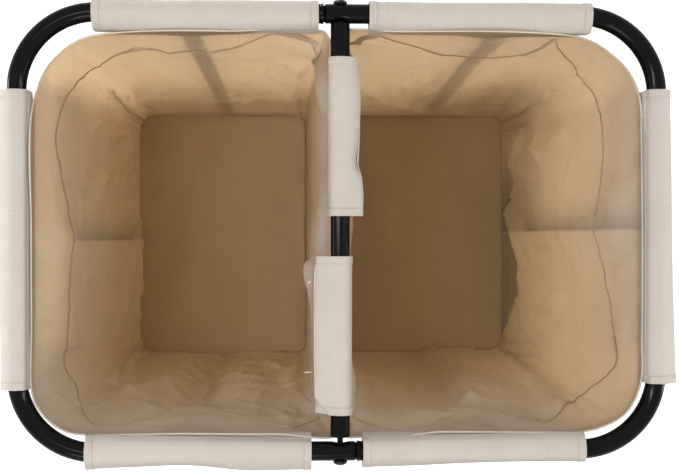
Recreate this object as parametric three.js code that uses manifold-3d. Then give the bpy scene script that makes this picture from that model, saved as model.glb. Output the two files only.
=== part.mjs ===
// Laundry hamper with two hanging fabric bins on a knock-down tube frame.
// Millimetres. X runs to the right, Y to the back, Z up. The floor is Z = 0.
import * as THREE from 'three';
import { mergeVertices } from 'three/addons/utils/BufferGeometryUtils.js';
import Module from 'manifold-3d';

const wasm = await Module();
wasm.setup();

// Clearances shared by every joint
const SEAT_GAP = 0.3;
const CUT_OVERRUN = 2;
const WELD_TOLERANCE = 0.0001;

// Frame tube
const TUBE_D = 19;
const TUBE_WALL = 1.4;

// Top ring, measured on the tube's centre line
const RING_WIDTH = 624;
const RING_DEPTH = 426;
const RING_HEIGHT = 668;
const RING_BEND_R = 76;

// Plug joints between the two halves of the ring
const SEAM_OFFSET = 16;
const PLUG_LENGTH = 45;
const SHOULDER_LENGTH = 1.8;
const LIP_LENGTH = 2.5;
const LIP_RISE = 0.4;
const DENT_HALF_LENGTH = 10;
const DENT_DEPTH = 1.5;

// Leg frames and the sockets that carry them
const LEG_OFFSET = 148;
const LEG_BEND_R = 60;
const SOCKET_DROP = 50;
const SOCKET_ROOF = 1.6;
const LEG_TOP_GAP = 1;
const LEG_BOLT_DROP = 32;
const LEG_BOLT_LENGTH = 12;

// Button-head bolts and the threaded plugs that take them
const BOLT_SHANK_D = 6;
const BOLT_HEAD_D = 13.6;
const BOLT_HEAD_H = 4;
const BOLT_RIM_H = 0.9;
const BOLT_TIP_CHAMFER = 0.8;
const BOLT_GRIP = 14;
const BOLT_CLEARANCE = 0.3;
const HEX_ACROSS = 4.4;
const HEX_DEPTH = 2.2;
const HEX_SIDES = 6;
const INSERT_LENGTH = 20;
const INSERT_RECESS = 1;

// Divider bar
const DIVIDER_FRONT_GAP = 4.7;

// Floor glides under the leg frames
const GLIDE_BASE = 6;
const GLIDE_WALL = 2.2;
const GLIDE_WIDTH = 27;
const GLIDE_LENGTH = 34;
const GLIDE_EDGE_H = 3;
const GLIDE_FROM_BEND = 18;

// Fabric sleeves round the ring and the divider bar
const SLEEVE_THICKNESS = 1.2;
const SLEEVE_TOP_GAP = 0.5;
const SLEEVE_SAG = 2.6;
const SLEEVE_SIDE_LENGTH = 218;
const SLEEVE_BACK_START = 21;
const SLEEVE_FRONT_START = 28;
const SLEEVE_SIDE_INNER = 16.7;
const SLEEVE_BACK_OUTER = 12.2;
const SLEEVE_FRONT_OUTER = 15.8;
const SLEEVE_END_LENGTH = 288;
const SLEEVE_END_SHIFT = 6;
const SLEEVE_END_INNER = 12.2;
const SLEEVE_END_OUTER = 18;
const SLEEVE_DIVIDER_LENGTH = 154;
const SLEEVE_DIVIDER_INNER = 24;
const SLEEVE_DIVIDER_OUTER = 11.6;
const SLEEVE_DIVIDER_GAP_LEFT = 26.5;
const SLEEVE_DIVIDER_GAP_RIGHT = 33.5;
const SLEEVE_TAIL = 15;
const SLEEVE_TAIL_RISE = 1.5;
const LEG_SLOT_CLEARANCE = 2;

// Bins
const BAG_THICKNESS = 1.6;
const BAG_DEPTH = 572;
const BAG_TAPER_END = 20;
const BAG_TAPER_SIDE = 15;
const BAG_FLOOR_INSET = 27;
const BAG_NEAR_CLEARANCE = 1;
const BAG_OUTER_R = 74;
const BAG_OUTER_FLOOR_R = 30;
const BAG_INNER_R = 16;
const BAG_JOG_FAR_Y = 4;
const BAG_JOG_NEAR_Y = 30;
const BAG_JOG_R = 9;
const BAG_HEM_CHAMFER = 7;
const BOARD_THICKNESS = 3;
const BOARD_CLEARANCE = 3;

// Facets
const TUBE_SIDES = 16;
const BEND_STEPS = 8;
const DENT_STEPS = 6;
const BOLT_SIDES = 12;
const DOME_STEPS = 3;
const SLEEVE_SIDES = 20;
const FILLET_STEPS = 6;
const CLIP_STEPS = 6;
const ANGLE_STRAIGHT = 0.999;
const CLIP_RISE_ANGLE = Math.PI / 6;
const CLIP_SIDE_ANGLE = -Math.PI / 12;

// Sizes that follow from the ones above
const tubeR = TUBE_D / 2;
const boreR = tubeR - TUBE_WALL;
const plugDrop = TUBE_WALL + SEAT_GAP;
const halfWidth = RING_WIDTH / 2;
const halfDepth = RING_DEPTH / 2;
const shoulderEnd = SEAM_OFFSET - SEAT_GAP;
const shoulderStart = shoulderEnd - SHOULDER_LENGTH;
const railZ = GLIDE_BASE + tubeR;
const socketTop = tubeR + SOCKET_ROOF;
const legTopZ = RING_HEIGHT - socketTop - LEG_TOP_GAP;
const legShoulderEnd = RING_HEIGHT - SOCKET_DROP - SEAT_GAP;
const legShoulderStart = legShoulderEnd - SHOULDER_LENGTH;
const boltHoleR = BOLT_SHANK_D / 2 + BOLT_CLEARANCE;
const seatR = tubeR + SEAT_GAP;

// Finishes
const powderBlack = { color: 0x16161a, roughness: 0.34, metalness: 0.1 };
const boltBlack = { color: 0x121214, roughness: 0.42, metalness: 0.6 };
const nylon = { color: 0x24242a, roughness: 0.6, metalness: 0 };
const glideBlack = { color: 0x1d1d1f, roughness: 0.75, metalness: 0 };
const linen = { color: 0xdad2c8, roughness: 0.95, metalness: 0 };
const bagCloth = { color: 0xc9b18e, roughness: 0.95, metalness: 0 };
const boardCloth = { color: 0x8a6c4b, roughness: 0.95, metalness: 0 };

const hamper = new THREE.Group();

function addMesh(parent, name, geometry, finish) {
  const mesh = new THREE.Mesh(geometry, new THREE.MeshStandardMaterial(finish));
  mesh.name = name;
  parent.add(mesh);
  return mesh;
}

// Closed solids for cutting and joining

function toSolid(geometry) {
  const bare = geometry.clone();
  bare.deleteAttribute('normal');
  bare.deleteAttribute('uv');
  const welded = mergeVertices(bare, WELD_TOLERANCE);
  const vertProperties = new Float32Array(welded.attributes.position.array);
  const triVerts = new Uint32Array(welded.index.array);
  return new wasm.Manifold(new wasm.Mesh({ numProp: 3, vertProperties, triVerts }));
}

function toGeometry(solid) {
  const { vertProperties, triVerts } = solid.getMesh();
  const geometry = new THREE.BufferGeometry();
  geometry.setAttribute('position', new THREE.BufferAttribute(vertProperties, 3));
  geometry.setIndex(new THREE.BufferAttribute(triVerts, 1));
  geometry.computeVertexNormals();
  return geometry;
}

function rod(radius, start, end, sides = TUBE_SIDES) {
  const run = end.clone().sub(start);
  const geometry = new THREE.CylinderGeometry(radius, radius, run.length(), sides);
  const turn = new THREE.Quaternion().setFromUnitVectors(
    new THREE.Vector3(0, 1, 0),
    run.clone().normalize(),
  );
  const middle = start.clone().add(end).multiplyScalar(0.5);
  geometry.applyQuaternion(turn);
  geometry.translate(middle.x, middle.y, middle.z);
  return geometry;
}

// A quarter bend from one straight run into the next
class QuarterBend extends THREE.Curve {
  constructor(centre, first, last) {
    super();
    this.centre = centre;
    this.first = first;
    this.last = last;
  }

  getPoint(t, target = new THREE.Vector3()) {
    const angle = (t * Math.PI) / 2;
    return target
      .copy(this.centre)
      .addScaledVector(this.first, Math.cos(angle))
      .addScaledVector(this.last, Math.sin(angle));
  }
}

// A route of straight runs and bends, each with its own number of steps
class Route extends THREE.Curve {
  constructor(runs) {
    super();
    this.runs = runs;
    this.steps = runs.reduce((sum, run) => sum + run.steps, 0);
  }

  getUtoTmapping(u) {
    return u;
  }

  getPoint(t, target = new THREE.Vector3()) {
    let place = t * this.steps;
    let index = 0;
    while (index < this.runs.length - 1 && place > this.runs[index].steps) {
      place -= this.runs[index].steps;
      index += 1;
    }
    return this.runs[index].curve.getPoint(place / this.runs[index].steps, target);
  }
}

function bentRoute(stops, bendRadius) {
  const runs = [];
  let start = stops[0];
  for (let i = 1; i < stops.length; i += 1) {
    const corner = stops[i];
    const next = stops[i + 1];
    const into = corner.clone().sub(stops[i - 1]).normalize();
    const out = next ? next.clone().sub(corner).normalize() : into;
    if (into.dot(out) > ANGLE_STRAIGHT) {
      runs.push({ curve: new THREE.LineCurve3(start, corner), steps: 1 });
      start = corner;
      continue;
    }
    const bendStart = corner.clone().addScaledVector(into, -bendRadius);
    const centre = bendStart.clone().addScaledVector(out, bendRadius);
    const first = out.clone().multiplyScalar(-bendRadius);
    const last = into.clone().multiplyScalar(bendRadius);
    runs.push({ curve: new THREE.LineCurve3(start, bendStart), steps: 1 });
    runs.push({ curve: new QuarterBend(centre, first, last), steps: BEND_STEPS });
    start = corner.clone().addScaledVector(out, bendRadius);
  }
  return new Route(runs);
}

function circlePoints(radius, sides) {
  const points = [];
  for (let i = 0; i < sides; i += 1) {
    const angle = (i * 2 * Math.PI) / sides;
    points.push(new THREE.Vector2(radius * Math.cos(angle), radius * Math.sin(angle)));
  }
  return points;
}

function bentRod(stops, bendRadius, radius) {
  const route = bentRoute(stops, bendRadius);
  return new THREE.ExtrudeGeometry(new THREE.Shape(circlePoints(radius, TUBE_SIDES)), {
    steps: route.steps,
    bevelEnabled: false,
    extrudePath: route,
  });
}

function lengthened(stops, extra) {
  const longer = stops.map((stop) => stop.clone());
  const last = longer.length - 1;
  const head = stops[0].clone().sub(stops[1]).normalize();
  const tail = stops[last].clone().sub(stops[last - 1]).normalize();
  longer[0].addScaledVector(head, extra);
  longer[last].addScaledVector(tail, extra);
  return longer;
}

function reshape(geometry, move) {
  const { position } = geometry.attributes;
  const point = new THREE.Vector3();
  for (let i = 0; i < position.count; i += 1) {
    move(point.fromBufferAttribute(position, i));
    position.setXYZ(i, point.x, point.y, point.z);
  }
  return geometry;
}

const share = (value, start, length) => THREE.MathUtils.clamp((value - start) / length, 0, 1);

// Top ring: two like halves, each with a plug on one arm and a mouth on the other

function shapeRingArms(point) {
  const front = point.y < 0;
  const axisY = front ? -halfDepth : halfDepth;
  if (point.x < -DENT_HALF_LENGTH && front) return;
  const across = point.y - axisY;
  const radius = Math.hypot(across, point.z);
  if (!front) {
    const rise = LIP_RISE * share(point.x, -SEAM_OFFSET - LIP_LENGTH, LIP_LENGTH);
    if (rise > 0) {
      point.y = axisY + across * (1 + rise / radius);
      point.z *= 1 + rise / radius;
    }
    return;
  }
  const drop = plugDrop * share(point.x, shoulderStart, SHOULDER_LENGTH);
  point.y = axisY + across * (1 - drop / radius);
  point.z *= 1 - drop / radius;
  if (Math.abs(point.x) < DENT_HALF_LENGTH && across > 0) {
    const fade = (1 + Math.cos((Math.PI * point.x) / DENT_HALF_LENGTH)) / 2;
    point.y -= (DENT_DEPTH * fade * across) / radius;
  }
}

function ringHalf() {
  const stops = [
    new THREE.Vector3(-SEAM_OFFSET, halfDepth, 0),
    new THREE.Vector3(-SEAM_OFFSET - LIP_LENGTH, halfDepth, 0),
    new THREE.Vector3(-halfWidth, halfDepth, 0),
    new THREE.Vector3(-halfWidth, -halfDepth, 0),
  ];
  for (let i = 0; i <= DENT_STEPS; i += 1) {
    const x = THREE.MathUtils.lerp(-DENT_HALF_LENGTH, DENT_HALF_LENGTH, i / DENT_STEPS);
    stops.push(new THREE.Vector3(x, -halfDepth, 0));
  }
  stops.push(new THREE.Vector3(shoulderStart, -halfDepth, 0));
  stops.push(new THREE.Vector3(shoulderEnd, -halfDepth, 0));
  stops.push(new THREE.Vector3(SEAM_OFFSET + PLUG_LENGTH, -halfDepth, 0));

  let solid = toSolid(reshape(bentRod(stops, RING_BEND_R, tubeR), shapeRingArms));
  for (const side of [-1, 1]) {
    const y = side * halfDepth;
    const top = new THREE.Vector3(-LEG_OFFSET, y, 0);
    const mouth = new THREE.Vector3(-LEG_OFFSET, y, -SOCKET_DROP);
    solid = solid.add(toSolid(rod(tubeR, mouth, top)));
  }
  const boreStops = lengthened(stops, CUT_OVERRUN);
  const bore = reshape(bentRod(boreStops, RING_BEND_R, boreR), shapeRingArms);
  solid = solid.subtract(toSolid(bore));
  for (const side of [-1, 1]) {
    const y = side * halfDepth;
    const roof = new THREE.Vector3(-LEG_OFFSET, y, -socketTop);
    const below = new THREE.Vector3(-LEG_OFFSET, y, -SOCKET_DROP - CUT_OVERRUN);
    solid = solid.subtract(toSolid(rod(boreR, below, roof)));
    const inside = new THREE.Vector3(-LEG_OFFSET, y, -LEG_BOLT_DROP);
    const outside = inside.clone();
    outside.y += side * (tubeR + CUT_OVERRUN);
    solid = solid.subtract(toSolid(rod(boltHoleR, inside, outside, BOLT_SIDES)));
  }
  const within = new THREE.Vector3(0, -halfDepth + tubeR + CUT_OVERRUN, 0);
  const beyond = new THREE.Vector3(0, -halfDepth - tubeR - CUT_OVERRUN, 0);
  solid = solid.subtract(toSolid(rod(boltHoleR, beyond, within, BOLT_SIDES)));
  return toGeometry(solid);
}

const ring = new THREE.Group();
ring.position.z = RING_HEIGHT;
hamper.add(ring);
const halfGeometry = ringHalf();
addMesh(ring, 'ring_half_left', halfGeometry, powderBlack);
addMesh(ring, 'ring_half_right', halfGeometry.clone(), powderBlack).rotation.z = Math.PI;

// Leg frames: a U of tube with both tops swaged into the ring's sockets

function shapeLegTops(point) {
  const axisY = point.y < 0 ? -halfDepth : halfDepth;
  const across = point.y - axisY;
  const radius = Math.hypot(across, point.x);
  const drop = plugDrop * share(point.z, legShoulderStart, SHOULDER_LENGTH);
  if (drop > 0) {
    point.x *= 1 - drop / radius;
    point.y = axisY + across * (1 - drop / radius);
  }
}

function legFrame() {
  const stops = [
    new THREE.Vector3(0, halfDepth, legTopZ),
    new THREE.Vector3(0, halfDepth, legShoulderEnd),
    new THREE.Vector3(0, halfDepth, legShoulderStart),
    new THREE.Vector3(0, halfDepth, railZ),
    new THREE.Vector3(0, -halfDepth, railZ),
    new THREE.Vector3(0, -halfDepth, legShoulderStart),
    new THREE.Vector3(0, -halfDepth, legShoulderEnd),
    new THREE.Vector3(0, -halfDepth, legTopZ),
  ];
  const boreStops = lengthened(stops, CUT_OVERRUN);
  let solid = toSolid(reshape(bentRod(stops, LEG_BEND_R, tubeR), shapeLegTops));
  solid = solid.subtract(toSolid(reshape(bentRod(boreStops, LEG_BEND_R, boreR), shapeLegTops)));
  for (const side of [-1, 1]) {
    const inside = new THREE.Vector3(0, side * halfDepth, RING_HEIGHT - LEG_BOLT_DROP);
    const outside = inside.clone();
    outside.y += side * (tubeR + CUT_OVERRUN);
    solid = solid.subtract(toSolid(rod(boltHoleR, inside, outside, BOLT_SIDES)));
  }
  const left = new THREE.Vector3(-tubeR - CUT_OVERRUN, 0, railZ);
  const right = new THREE.Vector3(tubeR + CUT_OVERRUN, 0, railZ);
  solid = solid.subtract(toSolid(rod(boltHoleR, left, right, BOLT_SIDES)));
  return toGeometry(solid);
}

const legGeometry = legFrame();
addMesh(hamper, 'leg_frame_left', legGeometry, powderBlack).position.x = -LEG_OFFSET;
addMesh(hamper, 'leg_frame_right', legGeometry.clone(), powderBlack).position.x = LEG_OFFSET;

// Straight bars: open tubes along Y, centred on the origin

function barTube(length) {
  const section = new THREE.Shape(circlePoints(tubeR, TUBE_SIDES));
  section.holes.push(new THREE.Path(circlePoints(boreR, TUBE_SIDES)));
  const geometry = new THREE.ExtrudeGeometry(section, { depth: length, bevelEnabled: false });
  geometry.translate(0, 0, -length / 2);
  geometry.rotateX(-Math.PI / 2);
  return geometry;
}

// Button-head bolt: the head's bearing face at the origin, the shank along -Y

function buttonBolt(length) {
  const shankR = BOLT_SHANK_D / 2;
  const headR = BOLT_HEAD_D / 2;
  const profile = [
    new THREE.Vector2(0, -length),
    new THREE.Vector2(shankR - BOLT_TIP_CHAMFER, -length),
    new THREE.Vector2(shankR, BOLT_TIP_CHAMFER - length),
    new THREE.Vector2(shankR, 0),
    new THREE.Vector2(headR, 0),
  ];
  for (let i = 0; i <= DOME_STEPS; i += 1) {
    const angle = (i * Math.PI) / 2 / DOME_STEPS;
    const rise = BOLT_RIM_H + (BOLT_HEAD_H - BOLT_RIM_H) * Math.sin(angle);
    const reach = i === DOME_STEPS ? 0 : headR * Math.cos(angle);
    profile.push(new THREE.Vector2(reach, rise));
  }
  const blank = toSolid(new THREE.LatheGeometry(profile, BOLT_SIDES));
  const recessFloor = new THREE.Vector3(0, BOLT_HEAD_H - HEX_DEPTH, 0);
  const above = new THREE.Vector3(0, BOLT_HEAD_H + CUT_OVERRUN, 0);
  const hexR = HEX_ACROSS / 2 / Math.cos(Math.PI / HEX_SIDES);
  return toGeometry(blank.subtract(toSolid(rod(hexR, recessFloor, above, HEX_SIDES))));
}

// Threaded plug in a bar's end: mouth at the origin, body along -Y

function threadedInsert() {
  const outerR = boreR - SEAT_GAP;
  const profile = [
    new THREE.Vector2(boltHoleR, -INSERT_LENGTH),
    new THREE.Vector2(outerR, -INSERT_LENGTH),
    new THREE.Vector2(outerR, 0),
    new THREE.Vector2(boltHoleR, 0),
    new THREE.Vector2(boltHoleR, -INSERT_LENGTH),
  ];
  return new THREE.LatheGeometry(profile, TUBE_SIDES);
}

// Divider bar across the ring, held by a bolt through each side of it

const dividerLength = RING_DEPTH - TUBE_D - SEAT_GAP - DIVIDER_FRONT_GAP;
const dividerBack = halfDepth - tubeR - SEAT_GAP;
const dividerFront = dividerBack - dividerLength;
const dividerBoltLength = SEAT_GAP + TUBE_D + DIVIDER_FRONT_GAP + INSERT_RECESS + BOLT_GRIP;

addMesh(ring, 'divider_bar', barTube(dividerLength), powderBlack).position.y =
  (dividerBack + dividerFront) / 2;
const backInsert = addMesh(ring, 'divider_insert_back', threadedInsert(), nylon);
backInsert.position.y = dividerBack - INSERT_RECESS;
const frontInsert = addMesh(ring, 'divider_insert_front', threadedInsert(), nylon);
frontInsert.position.y = dividerFront + INSERT_RECESS;
frontInsert.rotation.z = Math.PI;
const backBolt = addMesh(ring, 'divider_bolt_back', buttonBolt(dividerBoltLength), boltBlack);
backBolt.position.y = halfDepth + seatR;
const frontBolt = addMesh(ring, 'divider_bolt_front', buttonBolt(dividerBoltLength), boltBlack);
frontBolt.position.y = -halfDepth - seatR;
frontBolt.rotation.z = Math.PI;

// Stretcher between the two floor rails

const stretcherLength = 2 * (LEG_OFFSET - seatR);
const stretcherBoltLength = TUBE_D + 2 * SEAT_GAP + INSERT_RECESS + BOLT_GRIP;
const stretcher = new THREE.Group();
stretcher.position.z = railZ;
stretcher.rotation.z = -Math.PI / 2;
hamper.add(stretcher);
addMesh(stretcher, 'stretcher_bar', barTube(stretcherLength), powderBlack);
for (const [side, name] of [[1, 'right'], [-1, 'left']]) {
  const end = new THREE.Group();
  end.rotation.z = side > 0 ? 0 : Math.PI;
  stretcher.add(end);
  const insert = addMesh(end, `stretcher_insert_${name}`, threadedInsert(), nylon);
  insert.position.y = stretcherLength / 2 - INSERT_RECESS;
  const bolt = addMesh(end, `stretcher_bolt_${name}`, buttonBolt(stretcherBoltLength), boltBlack);
  bolt.position.y = LEG_OFFSET + seatR;
}

// Leg bolts, one through each socket into the leg's swaged top

const corners = [
  ['back_left', -1, 1],
  ['back_right', 1, 1],
  ['front_left', -1, -1],
  ['front_right', 1, -1],
];
for (const [name, sideX, sideY] of corners) {
  const bolt = addMesh(hamper, `leg_bolt_${name}`, buttonBolt(LEG_BOLT_LENGTH), boltBlack);
  bolt.position.set(sideX * LEG_OFFSET, sideY * (halfDepth + seatR), RING_HEIGHT - LEG_BOLT_DROP);
  bolt.rotation.z = sideY > 0 ? 0 : Math.PI;
}

// Floor glide: a clip open at the top, snapped up round the rail

function glideClip() {
  const outerR = seatR + GLIDE_WALL;
  const outline = new THREE.Shape();
  const rise = CLIP_RISE_ANGLE;
  outline.moveTo(-GLIDE_WIDTH / 2, 0);
  outline.lineTo(GLIDE_WIDTH / 2, 0);
  outline.lineTo(GLIDE_WIDTH / 2, GLIDE_EDGE_H);
  outline.absarc(0, railZ, outerR, CLIP_SIDE_ANGLE, rise, false);
  outline.absarc(0, railZ, seatR, rise, Math.PI - rise, true);
  outline.absarc(0, railZ, outerR, Math.PI - rise, Math.PI - CLIP_SIDE_ANGLE, false);
  outline.lineTo(-GLIDE_WIDTH / 2, GLIDE_EDGE_H);
  outline.closePath();
  const geometry = new THREE.ExtrudeGeometry(outline, {
    depth: GLIDE_LENGTH,
    bevelEnabled: false,
    curveSegments: CLIP_STEPS,
  });
  geometry.translate(0, 0, -GLIDE_LENGTH / 2);
  geometry.rotateX(Math.PI / 2);
  return geometry;
}

for (const [name, sideX, sideY] of corners) {
  const glide = addMesh(hamper, `floor_glide_${name}`, glideClip(), glideBlack);
  const along = halfDepth - LEG_BEND_R - GLIDE_FROM_BEND;
  glide.position.set(sideX * LEG_OFFSET, sideY * along, 0);
}

// Sleeve: a loose band round the tube with a tail sewn down the bin's wall.
// It runs along X with the tube's axis at the origin and the bin on its -Y side.

function sleeveLoop(inner, outer, top, bottom) {
  return circlePoints(1, SLEEVE_SIDES).map((point) => {
    const reach = point.x > 0 ? outer : inner;
    const height = point.y > 0 ? top : bottom;
    return new THREE.Vector2(point.x * reach, point.y * height);
  });
}

function sleeve(length, inner, outer, legAt = null) {
  const skin = SLEEVE_THICKNESS;
  const top = tubeR + SLEEVE_TOP_GAP;
  const bottom = tubeR + SLEEVE_SAG;
  const section = new THREE.Shape(sleeveLoop(inner, outer, top + skin, bottom + skin));
  section.holes.push(new THREE.Path(sleeveLoop(inner - skin, outer - skin, top, bottom)));
  const band = new THREE.ExtrudeGeometry(section, { depth: length, bevelEnabled: false });
  band.translate(0, 0, -length / 2);
  const tailHeight = SLEEVE_TAIL + SLEEVE_TAIL_RISE;
  const tail = new THREE.BoxGeometry(skin, tailHeight, length);
  tail.translate(skin / 2 - inner, SLEEVE_TAIL_RISE - tailHeight / 2, 0);
  let solid = toSolid(band).add(toSolid(tail));
  if (legAt !== null) {
    const slotR = tubeR + LEG_SLOT_CLEARANCE;
    const above = new THREE.Vector3(0, 0, legAt);
    const below = new THREE.Vector3(0, -bottom - skin - CUT_OVERRUN, legAt);
    solid = solid.subtract(toSolid(rod(slotR, below, above)));
  }
  const geometry = toGeometry(solid);
  const toY = new THREE.Vector3(0, 1, 0);
  const toZ = new THREE.Vector3(0, 0, 1);
  const toX = new THREE.Vector3(1, 0, 0);
  return geometry.applyMatrix4(new THREE.Matrix4().makeBasis(toY, toZ, toX));
}

// Bin: a tapered open shell, narrow where the other bin's sleeve passes

const bagEnd = halfWidth - SLEEVE_END_INNER - SEAT_GAP;
const bagSide = halfDepth - SLEEVE_SIDE_INNER - SEAT_GAP;
const bagFar = SLEEVE_DIVIDER_INNER + SEAT_GAP;
const bagNear = SLEEVE_DIVIDER_OUTER + BAG_NEAR_CLEARANCE;

function roundedLoop(corner) {
  const points = [];
  corner.forEach(([x, y, radius], i) => {
    const here = new THREE.Vector2(x, y);
    const before = new THREE.Vector2(...corner[(i + corner.length - 1) % corner.length]);
    const after = new THREE.Vector2(...corner[(i + 1) % corner.length]);
    const start = here.clone().addScaledVector(before.sub(here).normalize(), radius);
    const end = here.clone().addScaledVector(after.sub(here).normalize(), radius);
    points.push(...new THREE.QuadraticBezierCurve(start, here, end).getPoints(FILLET_STEPS));
  });
  return points;
}

function bagLoop(level, inset) {
  const lerp = THREE.MathUtils.lerp;
  const end = -bagEnd + BAG_TAPER_END * level + inset;
  const side = bagSide - BAG_TAPER_SIDE * level - inset;
  const near = -lerp(bagNear, BAG_FLOOR_INSET, level) - inset;
  const far = -lerp(bagFar, BAG_FLOOR_INSET, level) - inset;
  const outerR = lerp(BAG_OUTER_R, BAG_OUTER_FLOOR_R, level) - inset;
  const innerR = BAG_INNER_R - inset;
  return roundedLoop([
    [end, -side, outerR],
    [far, -side, innerR],
    [far, -BAG_JOG_FAR_Y, BAG_JOG_R],
    [near, BAG_JOG_NEAR_Y, BAG_JOG_R],
    [near, side, innerR],
    [end, side, outerR],
  ]);
}

function loft(rings) {
  const count = rings[0].points.length;
  const position = [];
  for (const { points, z } of rings) {
    for (const point of points) position.push(point.x, point.y, z);
  }
  const index = [];
  for (let r = 0; r < rings.length - 1; r += 1) {
    for (let i = 0; i < count; i += 1) {
      const a = r * count + i;
      const b = r * count + ((i + 1) % count);
      index.push(a, b, b + count, a, b + count, a + count);
    }
  }
  const last = (rings.length - 1) * count;
  const lowest = THREE.ShapeUtils.triangulateShape(rings[0].points, []);
  const final = THREE.ShapeUtils.triangulateShape(rings[rings.length - 1].points, []);
  for (const [a, b, c] of lowest) index.push(a, c, b);
  for (const [a, b, c] of final) index.push(last + a, last + b, last + c);
  const geometry = new THREE.BufferGeometry();
  geometry.setAttribute('position', new THREE.Float32BufferAttribute(position, 3));
  geometry.setIndex(index);
  geometry.computeVertexNormals();
  return geometry;
}

function bagShell() {
  const skin = BAG_THICKNESS;
  const chamfer = BAG_HEM_CHAMFER;
  const wallFoot = 1 - chamfer / BAG_DEPTH;
  return loft([
    { points: bagLoop(1, chamfer), z: -BAG_DEPTH },
    { points: bagLoop(wallFoot, 0), z: chamfer - BAG_DEPTH },
    { points: bagLoop(0, 0), z: 0 },
    { points: bagLoop(0, skin), z: 0 },
    { points: bagLoop(wallFoot, skin), z: chamfer - BAG_DEPTH },
    { points: bagLoop(1, chamfer + skin), z: skin - BAG_DEPTH },
  ]);
}

function baseBoard() {
  const inset = BAG_HEM_CHAMFER + BAG_THICKNESS + BOARD_CLEARANCE;
  const z = BAG_THICKNESS + SEAT_GAP - BAG_DEPTH;
  const points = bagLoop(1, inset);
  return loft([
    { points, z },
    { points, z: z + BOARD_THICKNESS },
  ]);
}

// Each bin hangs by four sleeves; the right one is the left one turned half round

const sleeveBackAt = -SLEEVE_BACK_START - SLEEVE_SIDE_LENGTH / 2;
const sleeveFrontAt = -SLEEVE_FRONT_START - SLEEVE_SIDE_LENGTH / 2;
const bins = [
  ['left', 0, 'back', 'front', SLEEVE_DIVIDER_GAP_LEFT, -SLEEVE_END_SHIFT],
  ['right', Math.PI, 'front', 'back', SLEEVE_DIVIDER_GAP_RIGHT, SLEEVE_END_SHIFT],
];
for (const [name, turn, first, second, dividerGap, endShift] of bins) {
  const bin = new THREE.Group();
  bin.rotation.z = turn;
  ring.add(bin);
  addMesh(bin, `bag_${name}`, bagShell(), bagCloth);
  addMesh(bin, `base_board_${name}`, baseBoard(), boardCloth);
  const outer = { back: SLEEVE_BACK_OUTER, front: SLEEVE_FRONT_OUTER };

  const one = sleeve(SLEEVE_SIDE_LENGTH, SLEEVE_SIDE_INNER, outer[first], -LEG_OFFSET - sleeveBackAt);
  addMesh(bin, `sleeve_${first}_${name}`, one, linen).position.set(sleeveBackAt, halfDepth, 0);

  const legAt = LEG_OFFSET + sleeveFrontAt;
  const two = sleeve(SLEEVE_SIDE_LENGTH, SLEEVE_SIDE_INNER, outer[second], legAt);
  const twoMesh = addMesh(bin, `sleeve_${second}_${name}`, two, linen);
  twoMesh.position.set(sleeveFrontAt, -halfDepth, 0);
  twoMesh.rotation.z = Math.PI;

  const three = sleeve(SLEEVE_END_LENGTH, SLEEVE_END_INNER, SLEEVE_END_OUTER);
  const threeMesh = addMesh(bin, `sleeve_end_${name}`, three, linen);
  threeMesh.position.set(-halfWidth, endShift, 0);
  threeMesh.rotation.z = Math.PI / 2;

  const four = sleeve(SLEEVE_DIVIDER_LENGTH, SLEEVE_DIVIDER_INNER, SLEEVE_DIVIDER_OUTER);
  const fourMesh = addMesh(bin, `sleeve_divider_${second}`, four, linen);
  const dividerEnd = halfDepth - tubeR - dividerGap;
  fourMesh.position.set(0, SLEEVE_DIVIDER_LENGTH / 2 - dividerEnd, 0);
  fourMesh.rotation.z = -Math.PI / 2;
}

export default hamper;
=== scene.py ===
# %% [markdown]
# # Laundry hamper with two bins
# A ring of black tube carries two cream cloth bins. The ring stands on two U-shaped leg frames.
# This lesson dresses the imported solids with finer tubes, sewn cloth and finishes.
# Everything is in metres: X runs to the right, Y to the back, Z up, and the floor is Z = 0.

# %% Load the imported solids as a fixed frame
import math

import bpy
import numpy as np
from mathutils import Matrix, Vector, noise


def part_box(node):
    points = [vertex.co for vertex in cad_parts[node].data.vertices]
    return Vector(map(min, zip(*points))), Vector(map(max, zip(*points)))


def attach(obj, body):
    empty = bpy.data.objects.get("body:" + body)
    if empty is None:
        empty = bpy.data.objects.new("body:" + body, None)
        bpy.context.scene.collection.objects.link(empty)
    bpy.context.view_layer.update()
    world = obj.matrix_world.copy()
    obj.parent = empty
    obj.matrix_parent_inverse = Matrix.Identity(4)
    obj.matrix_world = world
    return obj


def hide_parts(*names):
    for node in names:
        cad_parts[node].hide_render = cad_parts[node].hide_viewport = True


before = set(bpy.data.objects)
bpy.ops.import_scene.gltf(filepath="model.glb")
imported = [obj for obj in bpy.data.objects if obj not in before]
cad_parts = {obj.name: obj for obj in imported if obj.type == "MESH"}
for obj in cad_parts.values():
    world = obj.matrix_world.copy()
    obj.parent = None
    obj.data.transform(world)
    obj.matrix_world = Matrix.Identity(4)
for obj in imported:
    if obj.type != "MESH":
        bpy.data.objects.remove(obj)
bpy.context.view_layer.update()

# %% [markdown]
# ## Camera
# The photograph looks straight down from about one metre above the ring. The ring's four bends and
# the bins' floors give the camera's place, its slight lean and its focal length. The camera comes
# first because every later choice is judged through it.

# %% Camera
MILLIMETRE = 0.001
RING_Z = 0.668
PHOTO_WIDTH = 679
FOCAL_PIXELS = 1041
SHIFT_PIXELS = (3.9, 4.7)
SENSOR = 36
CAMERA_PLACE = (-0.0427, -0.0033, RING_Z + 1.0141)
CAMERA_LEAN = (-0.26, -2.16)


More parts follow.
